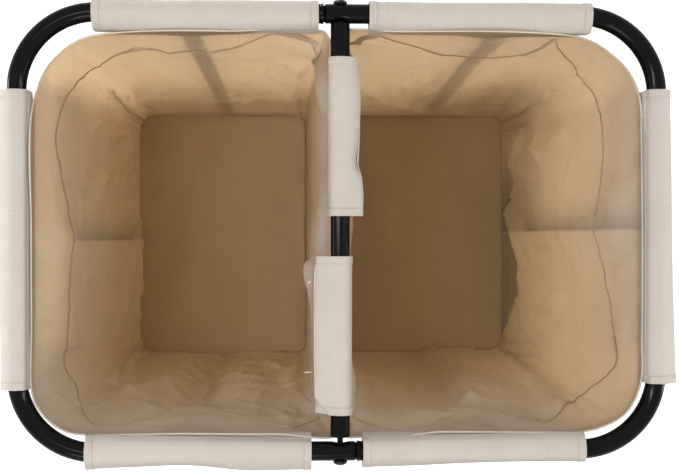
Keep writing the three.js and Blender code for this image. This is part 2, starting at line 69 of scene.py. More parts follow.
def add_camera():
    lean_x, lean_y = CAMERA_LEAN
    bpy.ops.object.camera_add(
        location=CAMERA_PLACE, rotation=(math.radians(lean_x), math.radians(lean_y), 0)
    )
    camera = bpy.context.object
    camera.name = "photo_camera"
    camera.data.sensor_width = SENSOR
    camera.data.lens = SENSOR * FOCAL_PIXELS / PHOTO_WIDTH
    camera.data.shift_x, camera.data.shift_y = (pixels / PHOTO_WIDTH for pixels in SHIFT_PIXELS)
    camera.data.clip_start = 0.01
    bpy.context.scene.camera = camera
    return camera


camera = add_camera()
print("lens", round(camera.data.lens, 2), "mm")

# %% [markdown]
# ## Writing finishes as sums
# A finish is a net of nodes. It is easier to read as an expression, such as
# `weave * 0.3 + dust`, so one small class wraps a node's output and adds a Math node for each
# operator. A second class makes every other node with one method.

# %% Finish helpers
def set_stops(ramp, stops):
    """Gives a colour ramp its stops: each is a place and a level or a colour."""
    while len(ramp.elements) < len(stops):
        ramp.elements.new(0.5)
    for element, (place, value) in zip(ramp.elements, stops):
        element.position = place
        element.color = value if hasattr(value, "__len__") else (value, value, value, 1)


class Wire:
    def __init__(self, finish, socket):
        self.finish = finish
        self.socket = socket

    def math(self, operation, *others):
        values = dict(enumerate((self, *others)))
        return self.finish.node("ShaderNodeMath", {"operation": operation}, values)

    def __add__(self, other):
        return self.math("ADD", other)

    def __sub__(self, other):
        return self.math("SUBTRACT", other)

    def __rsub__(self, other):
        return self.finish.node("ShaderNodeMath", {"operation": "SUBTRACT"}, {0: other, 1: self})

    def __mul__(self, other):
        return self.math("MULTIPLY", other)

    __radd__ = __add__
    __rmul__ = __mul__

    def clamp(self):
        clamped = self.math("MULTIPLY", 1.0)
        clamped.socket.node.use_clamp = True
        return clamped

    def ramp(self, *stops):
        return self.finish.node("ShaderNodeValToRGB", {"stops": stops}, {"Fac": self})


class Finish:
    def __init__(self, name):
        self.material = bpy.data.materials.new(name)
        self.material.use_nodes = True
        self.tree = self.material.node_tree
        self.shader = self.tree.nodes["Principled BSDF"]
        self.output = self.tree.nodes["Material Output"]

    def node(self, kind, settings=None, inputs=None, output=0):
        made = self.tree.nodes.new(kind)
        for setting, value in (settings or {}).items():
            if setting == "stops":
                set_stops(made.color_ramp, value)
            else:
                setattr(made, setting, value)
        for socket, value in (inputs or {}).items():
            self.feed(made.inputs[socket], value)
        return Wire(self, made.outputs[output])

    def feed(self, socket, value):
        if isinstance(value, Wire):
            self.tree.links.new(value.socket, socket)
        else:
            socket.default_value = value

    def set(self, **inputs):
        """Sets the main shader's sockets: base_color stands for Base Color, and so on."""
        for name, value in inputs.items():
            socket = name.replace("_", " ").title().replace("Ior", "IOR")
            self.feed(self.shader.inputs[socket], value)

    def place(self, source, scale=(1, 1, 1), turn=0.0):
        coordinates = self.node("ShaderNodeTexCoord", output=source)
        inputs = {"Vector": coordinates, "Rotation": (0, 0, turn), "Scale": scale}
        return self.node("ShaderNodeMapping", inputs=inputs)

    def noise(self, place, scale, detail=3.0, rough=0.55):
        inputs = {"Vector": place, "Scale": scale, "Detail": detail, "Roughness": rough}
        return self.node("ShaderNodeTexNoise", inputs=inputs)

    def bands(self, place, direction, scale):
        return self.node(
            "ShaderNodeTexWave",
            {"bands_direction": direction, "wave_profile": "SIN"},
            {"Vector": place, "Scale": scale},
        )

    def mix(self, share, first, second):
        inputs = {0: share, 6: first, 7: second}
        return self.node("ShaderNodeMix", {"data_type": "RGBA"}, inputs, output=2)

    def bump(self, height, depth, finer=None):
        """Relief of a depth in metres, laid over a finer one if there is one."""
        inputs = {"Height": height, "Distance": depth}
        if finer:
            inputs["Normal"] = finer
        return self.node("ShaderNodeBump", inputs=inputs)

# %% [markdown]
# ## Finishes
# Colours are noted as the screen shows them, 0 to 255, and turned into the linear values that
# Blender mixes. Tube, bolts and plastic read Object coordinates, because their grain doesn't
# follow a shape. Cloth reads its own UV map, laid out in metres, so that the weave bends with it.
# The bins' thin cloth glows where light falls on its other side, so part of its shader is
# translucent, and a Mix Shader's factor says how much at each place.

# %% Colours
def shade(red, green, blue):
    parts = []
    for part in (red, green, blue):
        part /= 255
        parts.append(part / 12.92 if part <= 0.04045 else ((part + 0.055) / 1.055) ** 2.4)
    return (*parts, 1.0)


WAVE_TURNS = 0.3142


def threads(pitch):
    """The scale at which a wave texture's bands lie one pitch apart."""
    return WAVE_TURNS / pitch


# %% Tube, bolt and plastic finishes
def powder_black():
    finish = Finish("powder_black")
    place = finish.place("Object")
    peel = finish.noise(place, 700, 2)
    clouds = finish.noise(place, 16, 4)
    dust = finish.noise(place, 190, 5, 0.7).ramp((0.58, 0.0), (0.75, 1.0))
    finish.set(
        base_color=finish.mix(dust * 0.2, shade(10, 9, 9), shade(44, 40, 37)),
        roughness=clouds * 0.08 + dust * 0.1 + 0.11,
        normal=finish.bump(peel, 0.00002),
        specular_ior_level=0.1,
    )
    return finish.material


def bolt_black():
    finish = Finish("bolt_black")
    place = finish.place("Object")
    grain = finish.noise(place, 900, 3)
    rubbed = finish.noise(place, 160, 4).ramp((0.5, 0.0), (0.72, 1.0))
    finish.set(
        base_color=finish.mix(rubbed * 0.4, shade(24, 22, 21), shade(74, 70, 66)),
        metallic=rubbed * 0.4 + 0.4,
        roughness=grain * 0.2 + 0.28,
        normal=finish.bump(grain, 0.00006),
    )
    return finish.material


def moulded(name, dark, light):
    finish = Finish(name)
    place = finish.place("Object")
    grain = finish.noise(place, 1100, 2)
    clouds = finish.noise(place, 30, 4)
    finish.set(
        base_color=finish.mix(clouds, shade(*dark), shade(*light)),
        roughness=grain * 0.2 + 0.45,
        normal=finish.bump(grain, 0.0001),
    )
    return finish.material


tube_finish = powder_black()
bolt_finish = bolt_black()
nylon_finish = moulded("moulded_nylon", (34, 34, 38), (48, 48, 52))
glide_finish = moulded("moulded_glide", (26, 26, 27), (40, 39, 38))
print("hard finishes made")

# %% Cloth finishes
def grown(value, start, steep):
    """Nothing up to start, and from there up to one."""
    return ((value - start) * steep).clamp()


def faded(value, start, steep):
    """One up to start, and from there down to nothing."""
    return (1 - (value - start) * steep).clamp()


def lining_and_painted_shade(finish, amount):
    """Where a bin lets more light through, where shade is painted on it, and how deep it lies.

    The back walls and the outer right wall are one thin layer. Shade is painted in a band just behind
    both outer end walls' middle crease, and at the right one's low lap and its foot: there the base
    colour is darkened and less light passes. Lower down, the base colour is painted yellower, as light
    bounced inside the bin would make it.
    """
    place = finish.node("ShaderNodeTexCoord", output="Object")
    x, y, z = (
        finish.node("ShaderNodeSeparateXYZ", inputs={0: place}, output=axis) for axis in range(3)
    )
    # Thin walls let light through. Near the top the left end wall passes more and the right end wall
    # less, and less passes at their foot and low in the back right corners: these changes paint light
    # and shade.
    back = grown(y, 0.14, 30)
    right = grown(x, 0.2, 18)
    left = grown(x * -1, 0.2, 18)
    high = grown(z, 0.54, 14) * grown(y, -0.14, 25)
    low_back = grown(y, 0.08, 20) * faded(z, 0.25, 4)
    corner = grown(x, 0.18, 25) * 0.9 + grown(x, -0.11, 14) * (x * -60).clamp() * 0.55
    thin = (back + right * (0.65 - high * 0.4) + left * high * 0.45).clamp()
    more = thin * grown(z, 0.09, 3.2) * (1 - corner * low_back) * amount
    # Shade is painted just behind the end walls' middle crease, and at the right one's lap and foot.
    end = grown(x * x, 0.068, 300)
    past = y - 0.001 + left * 0.012
    behind = (past * 300).clamp()
    crease = behind * faded(past, 0, 21) * end * (1 - left * high)
    foot = right * behind * faded(z, 0.2, 7) * faded(y, 0.04, 12)
    edge = 0.226 - (-0.085 - y).clamp() * 1.9
    lap = right * ((0.002 - y) * 300).clamp() * (1 - grown(z, edge, 60))
    painted_shade = (crease * crease * 0.9 + lap * 0.7 + foot * 0.95).clamp()
    return more, painted_shade, faded(z, 0.33, 4)


def cloth(
    name, light, dark, pitch, slub, see_through=0.0, relief=0.00012, glow=None, crumple=0.0, thin=0.0
):
    """Woven cloth. Its threads lie one pitch apart, and slub says how uneven they are.

    see_through is the share of light that passes, in the colour glow. crumple is the height of fine
    creases, and thin is how much more light passes where a bin's wall is thin; with it the bin also gets
    painted shade and a painted bounce-light tint.
    """
    finish = Finish(name)
    place = finish.place("UV")
    warp = finish.bands(place, "X", threads(pitch))
    weft = finish.bands(place, "Y", threads(pitch))
    along = finish.noise(finish.place("UV", (60, 1100, 1)), 1, 3)
    across = finish.noise(finish.place("UV", (1100, 60, 1)), 1, 3)
    clouds = finish.noise(finish.place("Object"), 22, 5)
    slubs = (along + across) * 0.5
    weave = warp * weft
    tone = (slubs * slub + clouds * (1 - slub) - 0.5) * 1.6 + 0.5
    normal = finish.bump(weave + slubs * 1.5, relief)
    if crumple:
        swell = finish.noise(finish.place("Object", (1, 1, 0.4)), 26, 3, 0.5)
        crease = finish.noise(finish.place("Object", (1, 1, 0.3), 0.7), 16, 2) - 0.5
        normal = finish.bump(swell + (crease * crease * 40).clamp() * 0.4, crumple, normal)
    tint = finish.mix((tone + (weave - 0.25) * 0.25).clamp(), shade(*dark), shade(*light))
    more, painted_shade = 0.0, 0.0
    if thin:
        more, painted_shade, deep = lining_and_painted_shade(finish, thin)
        # Painted bounce light: lower down the base colour turns yellower, as light bounced inside the
        # bin would make it.
        tint = finish.mix(deep * 0.85, tint, shade(221, 200, 160))
        # Painted shade: the base colour is darkened toward half its dark tone at the creases, the lap
        # and the foot.
        tint = finish.mix(painted_shade * 0.52, tint, shade(*(level // 2 for level in dark)))
    finish.set(
        base_color=tint,
        roughness=slubs * 0.15 + 0.8,
        normal=normal,
        specular_ior_level=0.2,
        sheen_weight=0.08,
        sheen_roughness=0.5,
    )
    if see_through:
        passed = {"Color": shade(*(glow or light)), "Normal": normal}
        through = finish.node("ShaderNodeBsdfTranslucent", inputs=passed)
        share = weave * 0.08 + slubs * 0.1 + see_through - 0.07 + more
        seen = Wire(finish, finish.shader.outputs[0])
        # Less light passes where shade is painted.
        inputs = {0: (share * (1 - painted_shade * 0.6)).clamp(), 1: seen, 2: through}
        finish.feed(finish.output.inputs["Surface"], finish.node("ShaderNodeMixShader", inputs=inputs))
    return finish.material


bin_finish = cloth(
    "bin_cloth", (228, 214, 198), (209, 193, 174), pitch=0.0009, slub=0.35, see_through=0.28,
    glow=(225, 208, 183), crumple=0.006, thin=0.4,
)
facing_finish = cloth(
    "facing_cloth", (236, 219, 192), (220, 201, 172), pitch=0.0009, slub=0.35, see_through=0.45,
    glow=(228, 205, 170), crumple=0.002,
)
sleeve_finish = cloth(
    "sleeve_linen", (225, 216, 206), (199, 189, 177), pitch=0.0011, slub=0.7, see_through=0.06,
    relief=0.00014,
)
board_finish = cloth("board_cloth", (217, 196, 158), (201, 179, 142), pitch=0.0009, slub=0.3)
binding_finish = cloth(
    "hem_binding", (244, 233, 216), (228, 214, 194), pitch=0.0007, slub=0.6, see_through=0.1
)
thread_finish = cloth("thread", (252, 247, 238), (240, 232, 220), pitch=0.0003, slub=0.6)
tape_finish = cloth(
    "tape_cloth", (216, 200, 176), (196, 178, 152), pitch=0.0008, slub=0.6, see_through=0.15
)
print("cloth finishes made")

# %% [markdown]
# ## Modelling helpers
# Every tube starts as a circle that is extruded and spun in edit mode, as by hand. Cloth starts
# as a grid that is wrapped to its place, because a sewn piece is a flat cut that has been bent.

# %% Selection and transform helpers
def put_down():
    bpy.ops.object.select_all(action="DESELECT")


def take(piece):
    put_down()
    piece.select_set(True)
    bpy.context.view_layer.objects.active = piece


def named(name):
    piece = bpy.context.object
    piece.name = name
    piece.data.name = name
    return piece


def settle(piece):
    take(piece)
    bpy.ops.object.transform_apply(location=True, rotation=True, scale=True)
    for modifier in list(piece.modifiers):
        bpy.ops.object.modifier_apply(modifier=modifier.name)
    return piece


def join(name, pieces):
    put_down()
    for piece in pieces:
        piece.select_set(True)
    bpy.context.view_layer.objects.active = pieces[0]
    bpy.ops.object.join()
    return named(name)


def open_all():
    """Goes into edit mode with all of the piece at hand selected."""
    bpy.ops.object.mode_set(mode="EDIT")
    bpy.ops.mesh.select_all(action="SELECT")


def face_out(piece, within=None):
    """Merges doubles and turns all faces outward. An open shell is checked against a point within."""
    take(piece)
    open_all()
    bpy.ops.mesh.remove_doubles(threshold=1e-6)
    bpy.ops.mesh.normals_make_consistent(inside=False)
    bpy.ops.object.mode_set(mode="OBJECT")
    if within is not None:
        nearest = min(piece.data.polygons, key=lambda face: (face.center - Vector(within)).length)
        if nearest.normal.dot(nearest.center - Vector(within)) < 0:
            open_all()
            bpy.ops.mesh.flip_normals()
            bpy.ops.object.mode_set(mode="OBJECT")
    return piece


def smooth(piece, degrees=35):
    take(piece)
    bpy.ops.object.shade_smooth_by_angle(angle=math.radians(degrees))
    return piece


def coordinates(piece):
    points = np.empty(len(piece.data.vertices) * 3)
    piece.data.vertices.foreach_get("co", points)
    return points.reshape(-1, 3)


def set_coordinates(piece, points):
    piece.data.vertices.foreach_set("co", np.asarray(points, float).ravel())
    piece.data.update()


def copied(piece, name, place=(0, 0, 0), turn=(0, 0, 0)):
    """Another like piece at its place, turned."""
    take(piece)
    bpy.ops.object.duplicate()
    copy = named(name)
    copy.location = place
    copy.rotation_euler = turn
    return settle(copy)


def cut_out(piece, punch):
    """Takes a punch's shape out of a piece, and the punch away."""
    take(piece)
    cut = piece.modifiers.new("cut", "BOOLEAN")
    cut.operation = "DIFFERENCE"
    cut.solver = "EXACT"
    cut.object = punch
    bpy.ops.object.modifier_apply(modifier=cut.name)
    bpy.data.objects.remove(punch)


def wear(piece, finish, slot_name, *nodes):
    """Gives a finished piece its material and its body, and hides the solids it stands for. The slot
    name is not used.
    """
    piece.data.materials.clear()
    piece.data.materials.append(finish)
    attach(piece, "root")
    if nodes:
        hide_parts(*nodes)
    return piece


# %% Swept tubes
TUBE_R = 0.0095
TUBE_WALL = 0.0014
SWAGED_R = 0.0078
TUBE_SIDES = 40
BEND_STEPS = 20


def sweep(name, radius, start, heading, moves):
    """Extrudes a closed rod: each move is ("go", vector), ("swell", vector, share) or ("bend", ...)."""
    put_down()
    turn = Vector((0, 0, 1)).rotation_difference(Vector(heading)).to_euler()
    bpy.ops.mesh.primitive_circle_add(
        vertices=TUBE_SIDES, radius=radius, fill_type="NOTHING", location=start, rotation=turn
    )
    rod = named(name)
    settle(rod)
    place = Vector(start)
    bpy.ops.object.mode_set(mode="EDIT")
    bpy.ops.mesh.select_mode(type="EDGE")
    bpy.ops.mesh.select_all(action="SELECT")
    for kind, *values in moves:
        if kind == "bend":
            angle, centre, axis = values
            bpy.ops.mesh.spin(steps=BEND_STEPS, angle=-angle, center=centre, axis=axis)
            place = Vector(centre) + Matrix.Rotation(angle, 3, Vector(axis)) @ (place - Vector(centre))
            continue
        bpy.ops.mesh.extrude_region_move(TRANSFORM_OT_translate={"value": values[0]})
        place += Vector(values[0])
        if kind == "swell":
            bpy.ops.transform.resize(value=(values[1],) * 3, center_override=place)
    bpy.ops.object.mode_set(mode="OBJECT")
    return face_out(rod, start)


def bored(piece, wall=TUBE_WALL):
    skin = piece.modifiers.new("wall", "SOLIDIFY")
    skin.thickness = wall
    skin.offset = -1
    return settle(piece)

# %% [markdown]
# ## Tube frame
# The ring is two like halves that plug into each other. Each half is swept from its mouth at the
# back, round two bends, to its thinner plug at the front. The bolt that holds the divider bar has
# pulled a shallow dent into the tube, so a few narrow rings are set there and pushed in.

# %% Ring halves
QUARTER = math.pi / 2
HALF_TURN = (0, 0, math.pi)
HALF_WIDTH = 0.312
HALF_DEPTH = 0.213
RING_BEND = 0.076
SEAM = 0.016
LIP = 0.0025
LIP_EDGE = 0.0003
LIP_SWELL = 1.04
JOINT_GAP = 0.0003
SHOULDER = 0.0018
PLUG = 0.045
DENT_HALF = 0.01
DENT_DEPTH = 0.0015
DENT_RINGS = 8
LEG_X = 0.148
SOCKET_DROP = 0.05
SOCKET_RIM = 0.002
BEAD_R = 0.0011
END_RUN = HALF_DEPTH - RING_BEND


def ring_half(name):
    """A half of the ring, from the lip of its mouth to the end of its plug."""
    bend_x = HALF_WIDTH - RING_BEND
    shoulder_start = SEAM - JOINT_GAP - SHOULDER
    moves = [
        ("swell", (-LIP_EDGE, 0, 0), LIP_SWELL),
        ("go", (-LIP, 0, 0)),
        ("swell", (-2 * LIP_EDGE, 0, 0), 1 / LIP_SWELL),
        ("go", (-bend_x + SEAM + LIP + 3 * LIP_EDGE, 0, 0)),
        ("bend", QUARTER, (-bend_x, END_RUN, RING_Z), (0, 0, 1)),
        ("go", (0, -2 * END_RUN, 0)),
        ("bend", QUARTER, (-bend_x, -END_RUN, RING_Z), (0, 0, 1)),
        ("go", (bend_x - DENT_HALF, 0, 0)),
    ]
    moves += [("go", (2 * DENT_HALF / DENT_RINGS, 0, 0))] * DENT_RINGS
    moves += [
        ("go", (shoulder_start - DENT_HALF, 0, 0)),
        ("swell", (SHOULDER, 0, 0), SWAGED_R / TUBE_R),
        ("go", (PLUG, 0, 0)),
    ]
    half = sweep(name, TUBE_R, (-SEAM, HALF_DEPTH, RING_Z), (-1, 0, 0), moves)
    points = coordinates(half)
    across = points[:, 1] + HALF_DEPTH
    near = (abs(points[:, 0]) < DENT_HALF) & (abs(across) < 2 * TUBE_R)
    fade = (1 + np.cos(np.pi * points[:, 0] / DENT_HALF)) / 2
    points[:, 1] -= near * DENT_DEPTH * fade * np.clip(across / TUBE_R, 0, 1)
    set_coordinates(half, points)
    return bored(half)


def socket(name, x, y):
    """The short tube under the ring that a leg plugs into."""
    mouth = (x, y, RING_Z - SOCKET_DROP)
    moves = [("go", (0, 0, SOCKET_RIM)), ("go", (0, 0, SOCKET_DROP - SOCKET_RIM))]
    return bored(sweep(name, TUBE_R, mouth, (0, 0, 1), moves))


def weld_bead(name, x, y):
    """The thin fillet where a socket meets the ring: a ring of tube laid on the saddle line."""
    put_down()
    bpy.ops.mesh.primitive_torus_add(
        major_segments=48, minor_segments=8, major_radius=TUBE_R, minor_radius=BEAD_R,
        location=(x, y, RING_Z),
    )
    bead = settle(named(name))
    points = coordinates(bead)
    across = np.clip((points[:, 1] - y) / TUBE_R, -1, 1)
    points[:, 2] -= TUBE_R * np.sqrt(1 - across**2) * 0.97
    set_coordinates(bead, points)
    return bead


pieces = [ring_half("ring_left_tube")]
for side in (-1, 1):
    pieces.append(socket("socket", -LEG_X, side * HALF_DEPTH))
    pieces.append(weld_bead("bead", -LEG_X, side * HALF_DEPTH))
ring_left = smooth(join("ring_left_tube", pieces))
ring_right = copied(ring_left, "ring_right_tube", turn=HALF_TURN)
wear(ring_left, tube_finish, "frame_tube", "ring_half_left")
wear(ring_right, tube_finish, "frame_tube", "ring_half_right")
print("ring halves", len(ring_left.data.polygons), "faces each")

# %% Leg frames and bars
RAIL_Z = 0.0155
LEG_BEND = 0.06
LEG_TOP_Z = 0.6559
LEG_SHOULDER_TOP = RING_Z - SOCKET_DROP - JOINT_GAP


def leg_frame(name):
    """A U of tube: down one leg, along the floor under a bin and up the other leg."""
    swaged = LEG_TOP_Z - LEG_SHOULDER_TOP
    upright = LEG_SHOULDER_TOP - SHOULDER - RAIL_Z - LEG_BEND
    bend_y = HALF_DEPTH - LEG_BEND
    bend_z = RAIL_Z + LEG_BEND
    moves = [
        ("go", (0, 0, -swaged)),
        ("swell", (0, 0, -SHOULDER), TUBE_R / SWAGED_R),
        ("go", (0, 0, -upright)),
        ("bend", -QUARTER, (-LEG_X, bend_y, bend_z), (1, 0, 0)),
        ("go", (0, -2 * bend_y, 0)),
        ("bend", -QUARTER, (-LEG_X, -bend_y, bend_z), (1, 0, 0)),
        ("go", (0, 0, upright)),
        ("swell", (0, 0, SHOULDER), SWAGED_R / TUBE_R),
        ("go", (0, 0, swaged)),
    ]
    top = (-LEG_X, HALF_DEPTH, LEG_TOP_Z)
    return smooth(bored(sweep(name, SWAGED_R, top, (0, 0, -1), moves)))


def bar(name, start, run):
    """An open tube whose rims are eased, as a deburred cut is."""
    ease = Vector(run).normalized() * 0.0004
    rim = TUBE_R - 0.0003
    moves = [
        ("swell", ease, TUBE_R / rim),
        ("go", Vector(run) - 2 * ease),
        ("swell", ease, rim / TUBE_R),
    ]
    return smooth(bored(sweep(name, rim, start, run, moves)))


leg_left = leg_frame("leg_left_tube")
leg_right = copied(leg_left, "leg_right_tube", turn=HALF_TURN)
divider_low, divider_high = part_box("divider_bar")
divider = bar("divider_tube", (0, divider_low.y, RING_Z), (0, divider_high.y - divider_low.y, 0))
tie_low, tie_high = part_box("stretcher_bar")
tie = bar("stretcher_tube", (tie_low.x, 0, RAIL_Z), (tie_high.x - tie_low.x, 0, 0))
wear(leg_left, tube_finish, "frame_tube", "leg_frame_left")
wear(leg_right, tube_finish, "frame_tube", "leg_frame_right")
wear(divider, tube_finish, "frame_tube", "divider_bar")
wear(tie, tube_finish, "frame_tube", "stretcher_bar")
print("divider bar", round(divider_high.y - divider_low.y, 4), "m long")

# %% [markdown]
# ## Bolts and glides
# The photograph shows two round bolt heads with a hexagon recess, and a bit of threaded shank in
# the gap at the bar's front end. A bolt is one circle that is extruded and resized up its profile,
# as on a lathe, and its recess is cut with a six-sided prism.

# %% Button-head bolts
BOLT_SHANK_R = 0.003
BOLT_HEAD_R = 0.0068
BOLT_HEAD_H = 0.004
BOLT_SIDES = 32
BOLT_TIP = 0.0008
DOME_STEPS = 7
RECESS_R = 0.0024
RECESS_DEPTH = 0.0022
THREAD_PITCH = 0.001
THREAD_DEPTH = 0.00045
SEAT_R = TUBE_R + JOINT_GAP
LEG_BOLT_DROP = 0.032
CORNERS = [
    (f"{row}_{column}", side_x, side_y)
    for row, side_y in (("back", 1), ("front", -1))
    for column, side_x in (("left", -1), ("right", 1))
]


def turned(name, profile):
    """profile is a list of (radius, height) from the lowest ring to the highest."""
    put_down()
    radius, height = profile[0]
    bpy.ops.mesh.primitive_circle_add(
        vertices=BOLT_SIDES, radius=radius, fill_type="NGON", location=(0, 0, height)
    )
    lathe = settle(named(name))
    bpy.ops.object.mode_set(mode="EDIT")
    bpy.ops.mesh.select_mode(type="EDGE")
    bpy.ops.mesh.select_all(action="SELECT")
    bpy.ops.mesh.delete(type="ONLY_FACE")
    bpy.ops.mesh.select_all(action="SELECT")
    for next_radius, next_height in profile[1:]:
        step = (0, 0, next_height - height)
        bpy.ops.mesh.extrude_region_move(TRANSFORM_OT_translate={"value": step})
        share = next_radius / radius
        bpy.ops.transform.resize(value=(share, share, 1), center_override=(0, 0, next_height))
        radius, height = next_radius, next_height
    bpy.ops.mesh.edge_face_add()
    bpy.ops.mesh.select_all(action="DESELECT")
    bpy.ops.object.mode_set(mode="OBJECT")
    for vertex in lathe.data.vertices:
        vertex.select = abs(vertex.co.z - profile[0][1]) < 1e-7
    bpy.ops.object.mode_set(mode="EDIT")
    bpy.ops.mesh.select_mode(type="VERT")
    bpy.ops.mesh.edge_face_add()
    bpy.ops.object.mode_set(mode="OBJECT")
    return face_out(lathe)


def bolt(name, length):
    """A button-head bolt, head up, with its seat at 0."""
    profile = [(BOLT_SHANK_R - BOLT_TIP, -length), (BOLT_SHANK_R, BOLT_TIP - length)]
    grooves = int((length - 0.003) / THREAD_PITCH)
    for groove in range(grooves):
        z = 0.0012 - length + groove * THREAD_PITCH
        profile += [(BOLT_SHANK_R - THREAD_DEPTH, z), (BOLT_SHANK_R, z + THREAD_PITCH / 2)]
    profile += [(BOLT_SHANK_R, -0.0002), (BOLT_HEAD_R, 0), (BOLT_HEAD_R + 0.0001, 0.0006)]
    for step in range(1, DOME_STEPS):
        angle = QUARTER * step / DOME_STEPS
        rise = 0.0009 + (BOLT_HEAD_H - 0.0009) * math.sin(angle)
        profile.append((BOLT_HEAD_R * math.cos(angle), rise))
    blank = turned(name, profile)
    put_down()
    bpy.ops.mesh.primitive_cylinder_add(
        vertices=6, radius=RECESS_R, depth=2 * RECESS_DEPTH, location=(0, 0, BOLT_HEAD_H)
    )
    cut_out(blank, settle(named("punch")))
    return smooth(blank, 30)


to_back = (-QUARTER, 0, 0)
to_front = (QUARTER, 0, 0)
long_bolt = bolt("long_bolt", 0.039)
tie_bolt = bolt("tie_bolt", 0.0346)
leg_bolt = bolt("leg_bolt", 0.012)
bolts = [
    (long_bolt, "divider_bolt_back", (0, HALF_DEPTH + SEAT_R, RING_Z), to_back),
    (long_bolt, "divider_bolt_front", (0, -HALF_DEPTH - SEAT_R, RING_Z), to_front),
    (tie_bolt, "stretcher_bolt_right", (LEG_X + SEAT_R, 0, RAIL_Z), (0, QUARTER, 0)),
    (tie_bolt, "stretcher_bolt_left", (-LEG_X - SEAT_R, 0, RAIL_Z), (0, -QUARTER, 0)),
]
for corner, side_x, side_y in CORNERS:
    seat = (side_x * LEG_X, side_y * (HALF_DEPTH + SEAT_R), RING_Z - LEG_BOLT_DROP)
    bolts.append((leg_bolt, f"leg_bolt_{corner}", seat, to_back if side_y > 0 else to_front))
for pattern, node, place, turn in bolts:
    wear(copied(pattern, f"{node}_turned", place, turn), bolt_finish, "bolt", node)
for pattern in (long_bolt, tie_bolt, leg_bolt):
    bpy.data.objects.remove(pattern)
for name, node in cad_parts.items():
    if "_insert_" in name:
        node.data.materials.clear()
        node.data.materials.append(nylon_finish)
print(len(bolts), "bolts")

# %% Floor glides
GLIDE_HALF_WIDTH = 0.0135
GLIDE_LENGTH = 0.034
GLIDE_WALL = 0.0022
GLIDE_EDGE = 0.003
GLIDE_Y = 0.135


def arc(radius, first, last, steps=12):
    angles = np.radians(np.linspace(first, last, steps))
    return [(radius * math.cos(a), RAIL_Z + radius * math.sin(a)) for a in angles]


def glide(name, x, y):
    """A clip with a flat sole that grips the rail from below."""
    outline = [(-GLIDE_HALF_WIDTH, 0), (GLIDE_HALF_WIDTH, 0), (GLIDE_HALF_WIDTH, GLIDE_EDGE)]
    outline += arc(SEAT_R + GLIDE_WALL, -15, 30)
    outline += arc(SEAT_R, 30, -210, 30)
    outline += arc(SEAT_R + GLIDE_WALL, 150, 195)
    outline += [(-GLIDE_HALF_WIDTH, GLIDE_EDGE)]
    put_down()
    bpy.ops.mesh.primitive_circle_add(vertices=len(outline), radius=1, fill_type="NGON")
    clip = named(name)
    set_coordinates(clip, [(x + across, y - GLIDE_LENGTH / 2, z) for across, z in outline])
    open_all()
    bpy.ops.mesh.extrude_region_move(TRANSFORM_OT_translate={"value": (0, GLIDE_LENGTH, 0)})
    bpy.ops.object.mode_set(mode="OBJECT")
    face_out(clip)
    edge = clip.modifiers.new("eased edges", "BEVEL")
    edge.width = 0.0007
    edge.segments = 3
    edge.limit_method = "ANGLE"
    edge.angle_limit = math.radians(40)
    return smooth(settle(clip), 40)


for corner, side_x, side_y in CORNERS:
    clip = glide(f"glide_{corner}", side_x * LEG_X, side_y * GLIDE_Y)
    wear(clip, glide_finish, "glide", f"floor_glide_{corner}")
print("glides made")

# %% [markdown]
# ## Cloth bins
# Each bin is one strip of thin cloth, sewn into a tapered tube with a floor that carries a stiff
# board. The photograph looks into it: a second layer below the rim ends in a hem that its stitches
# pucker, and creases from packing cross the walls. A grid is wrapped round the bin's outline and
# lowered from the rim to the floor. Folds are then pushed in or out along the wall, each placed by
# how far it lies along the rim and how deep it is.

# %% Smooth curves through noted places
def drawn(table, places, period=None):
    """A smooth curve through (place, value) rows. With a period it closes on itself."""
    rows = sorted(table)
    if period:
        rows = [(rows[-1][0] - period, rows[-1][1]), *rows, (rows[0][0] + period, rows[0][1])]
    keys, values = (np.array(column, float) for column in zip(*rows))
    slopes = np.gradient(values, keys)
    places = np.clip(places, keys[0], keys[-1])
    low = np.clip(np.searchsorted(keys, places, side="right") - 1, 0, len(keys) - 2)
    gap = keys[low + 1] - keys[low]
    t = (places - keys[low]) / gap
    return (
        (1 + 2 * t) * (1 - t) ** 2 * values[low]
        + t * (1 - t) ** 2 * gap * slopes[low]
        + t**2 * (3 - 2 * t) * values[low + 1]
        + t**2 * (t - 1) * gap * slopes[low + 1]
    )


def eased(value, start, end):
    """Nothing up to start, one from end on, and a smooth rise between them."""
    t = np.clip((value - start) / (end - start), 0, 1)
    return t * t * (3 - 2 * t)


def ripple(x, y, size, seed):
    """Blender's own noise at many places: the same values each run."""
    flat = zip(np.ravel(x) / size, np.ravel(y) / size)
    values = [noise.noise(Vector((a, b, seed))) for a, b in flat]
    return np.array(values).reshape(np.shape(x))


# %% Wrapping a grid
def wrapped(name, across, down, place, size, within=None):
    """Bends a flat grid to its place. place(u, v) gives points for shares across and down.

    size is the flat cut in metres, for the weave, and within is a point on the cloth's inner side.
    """
    put_down()
    bpy.ops.mesh.primitive_grid_add(x_subdivisions=across, y_subdivisions=down, size=1)
    sheet = named(name)
    flat = coordinates(sheet)
    u, v = flat[:, 0] + 0.5, 0.5 - flat[:, 1]
    set_coordinates(sheet, place(u, v))
    layout = sheet.data.uv_layers[0].data
    uv = np.empty(len(layout) * 2)
    layout.foreach_get("uv", uv)
    uv = uv.reshape(-1, 2) * size
    layout.foreach_set("uv", uv.ravel())
    sheet.data.uv_layers[0].name = "cut"
    face_out(sheet, within)
    return sheet


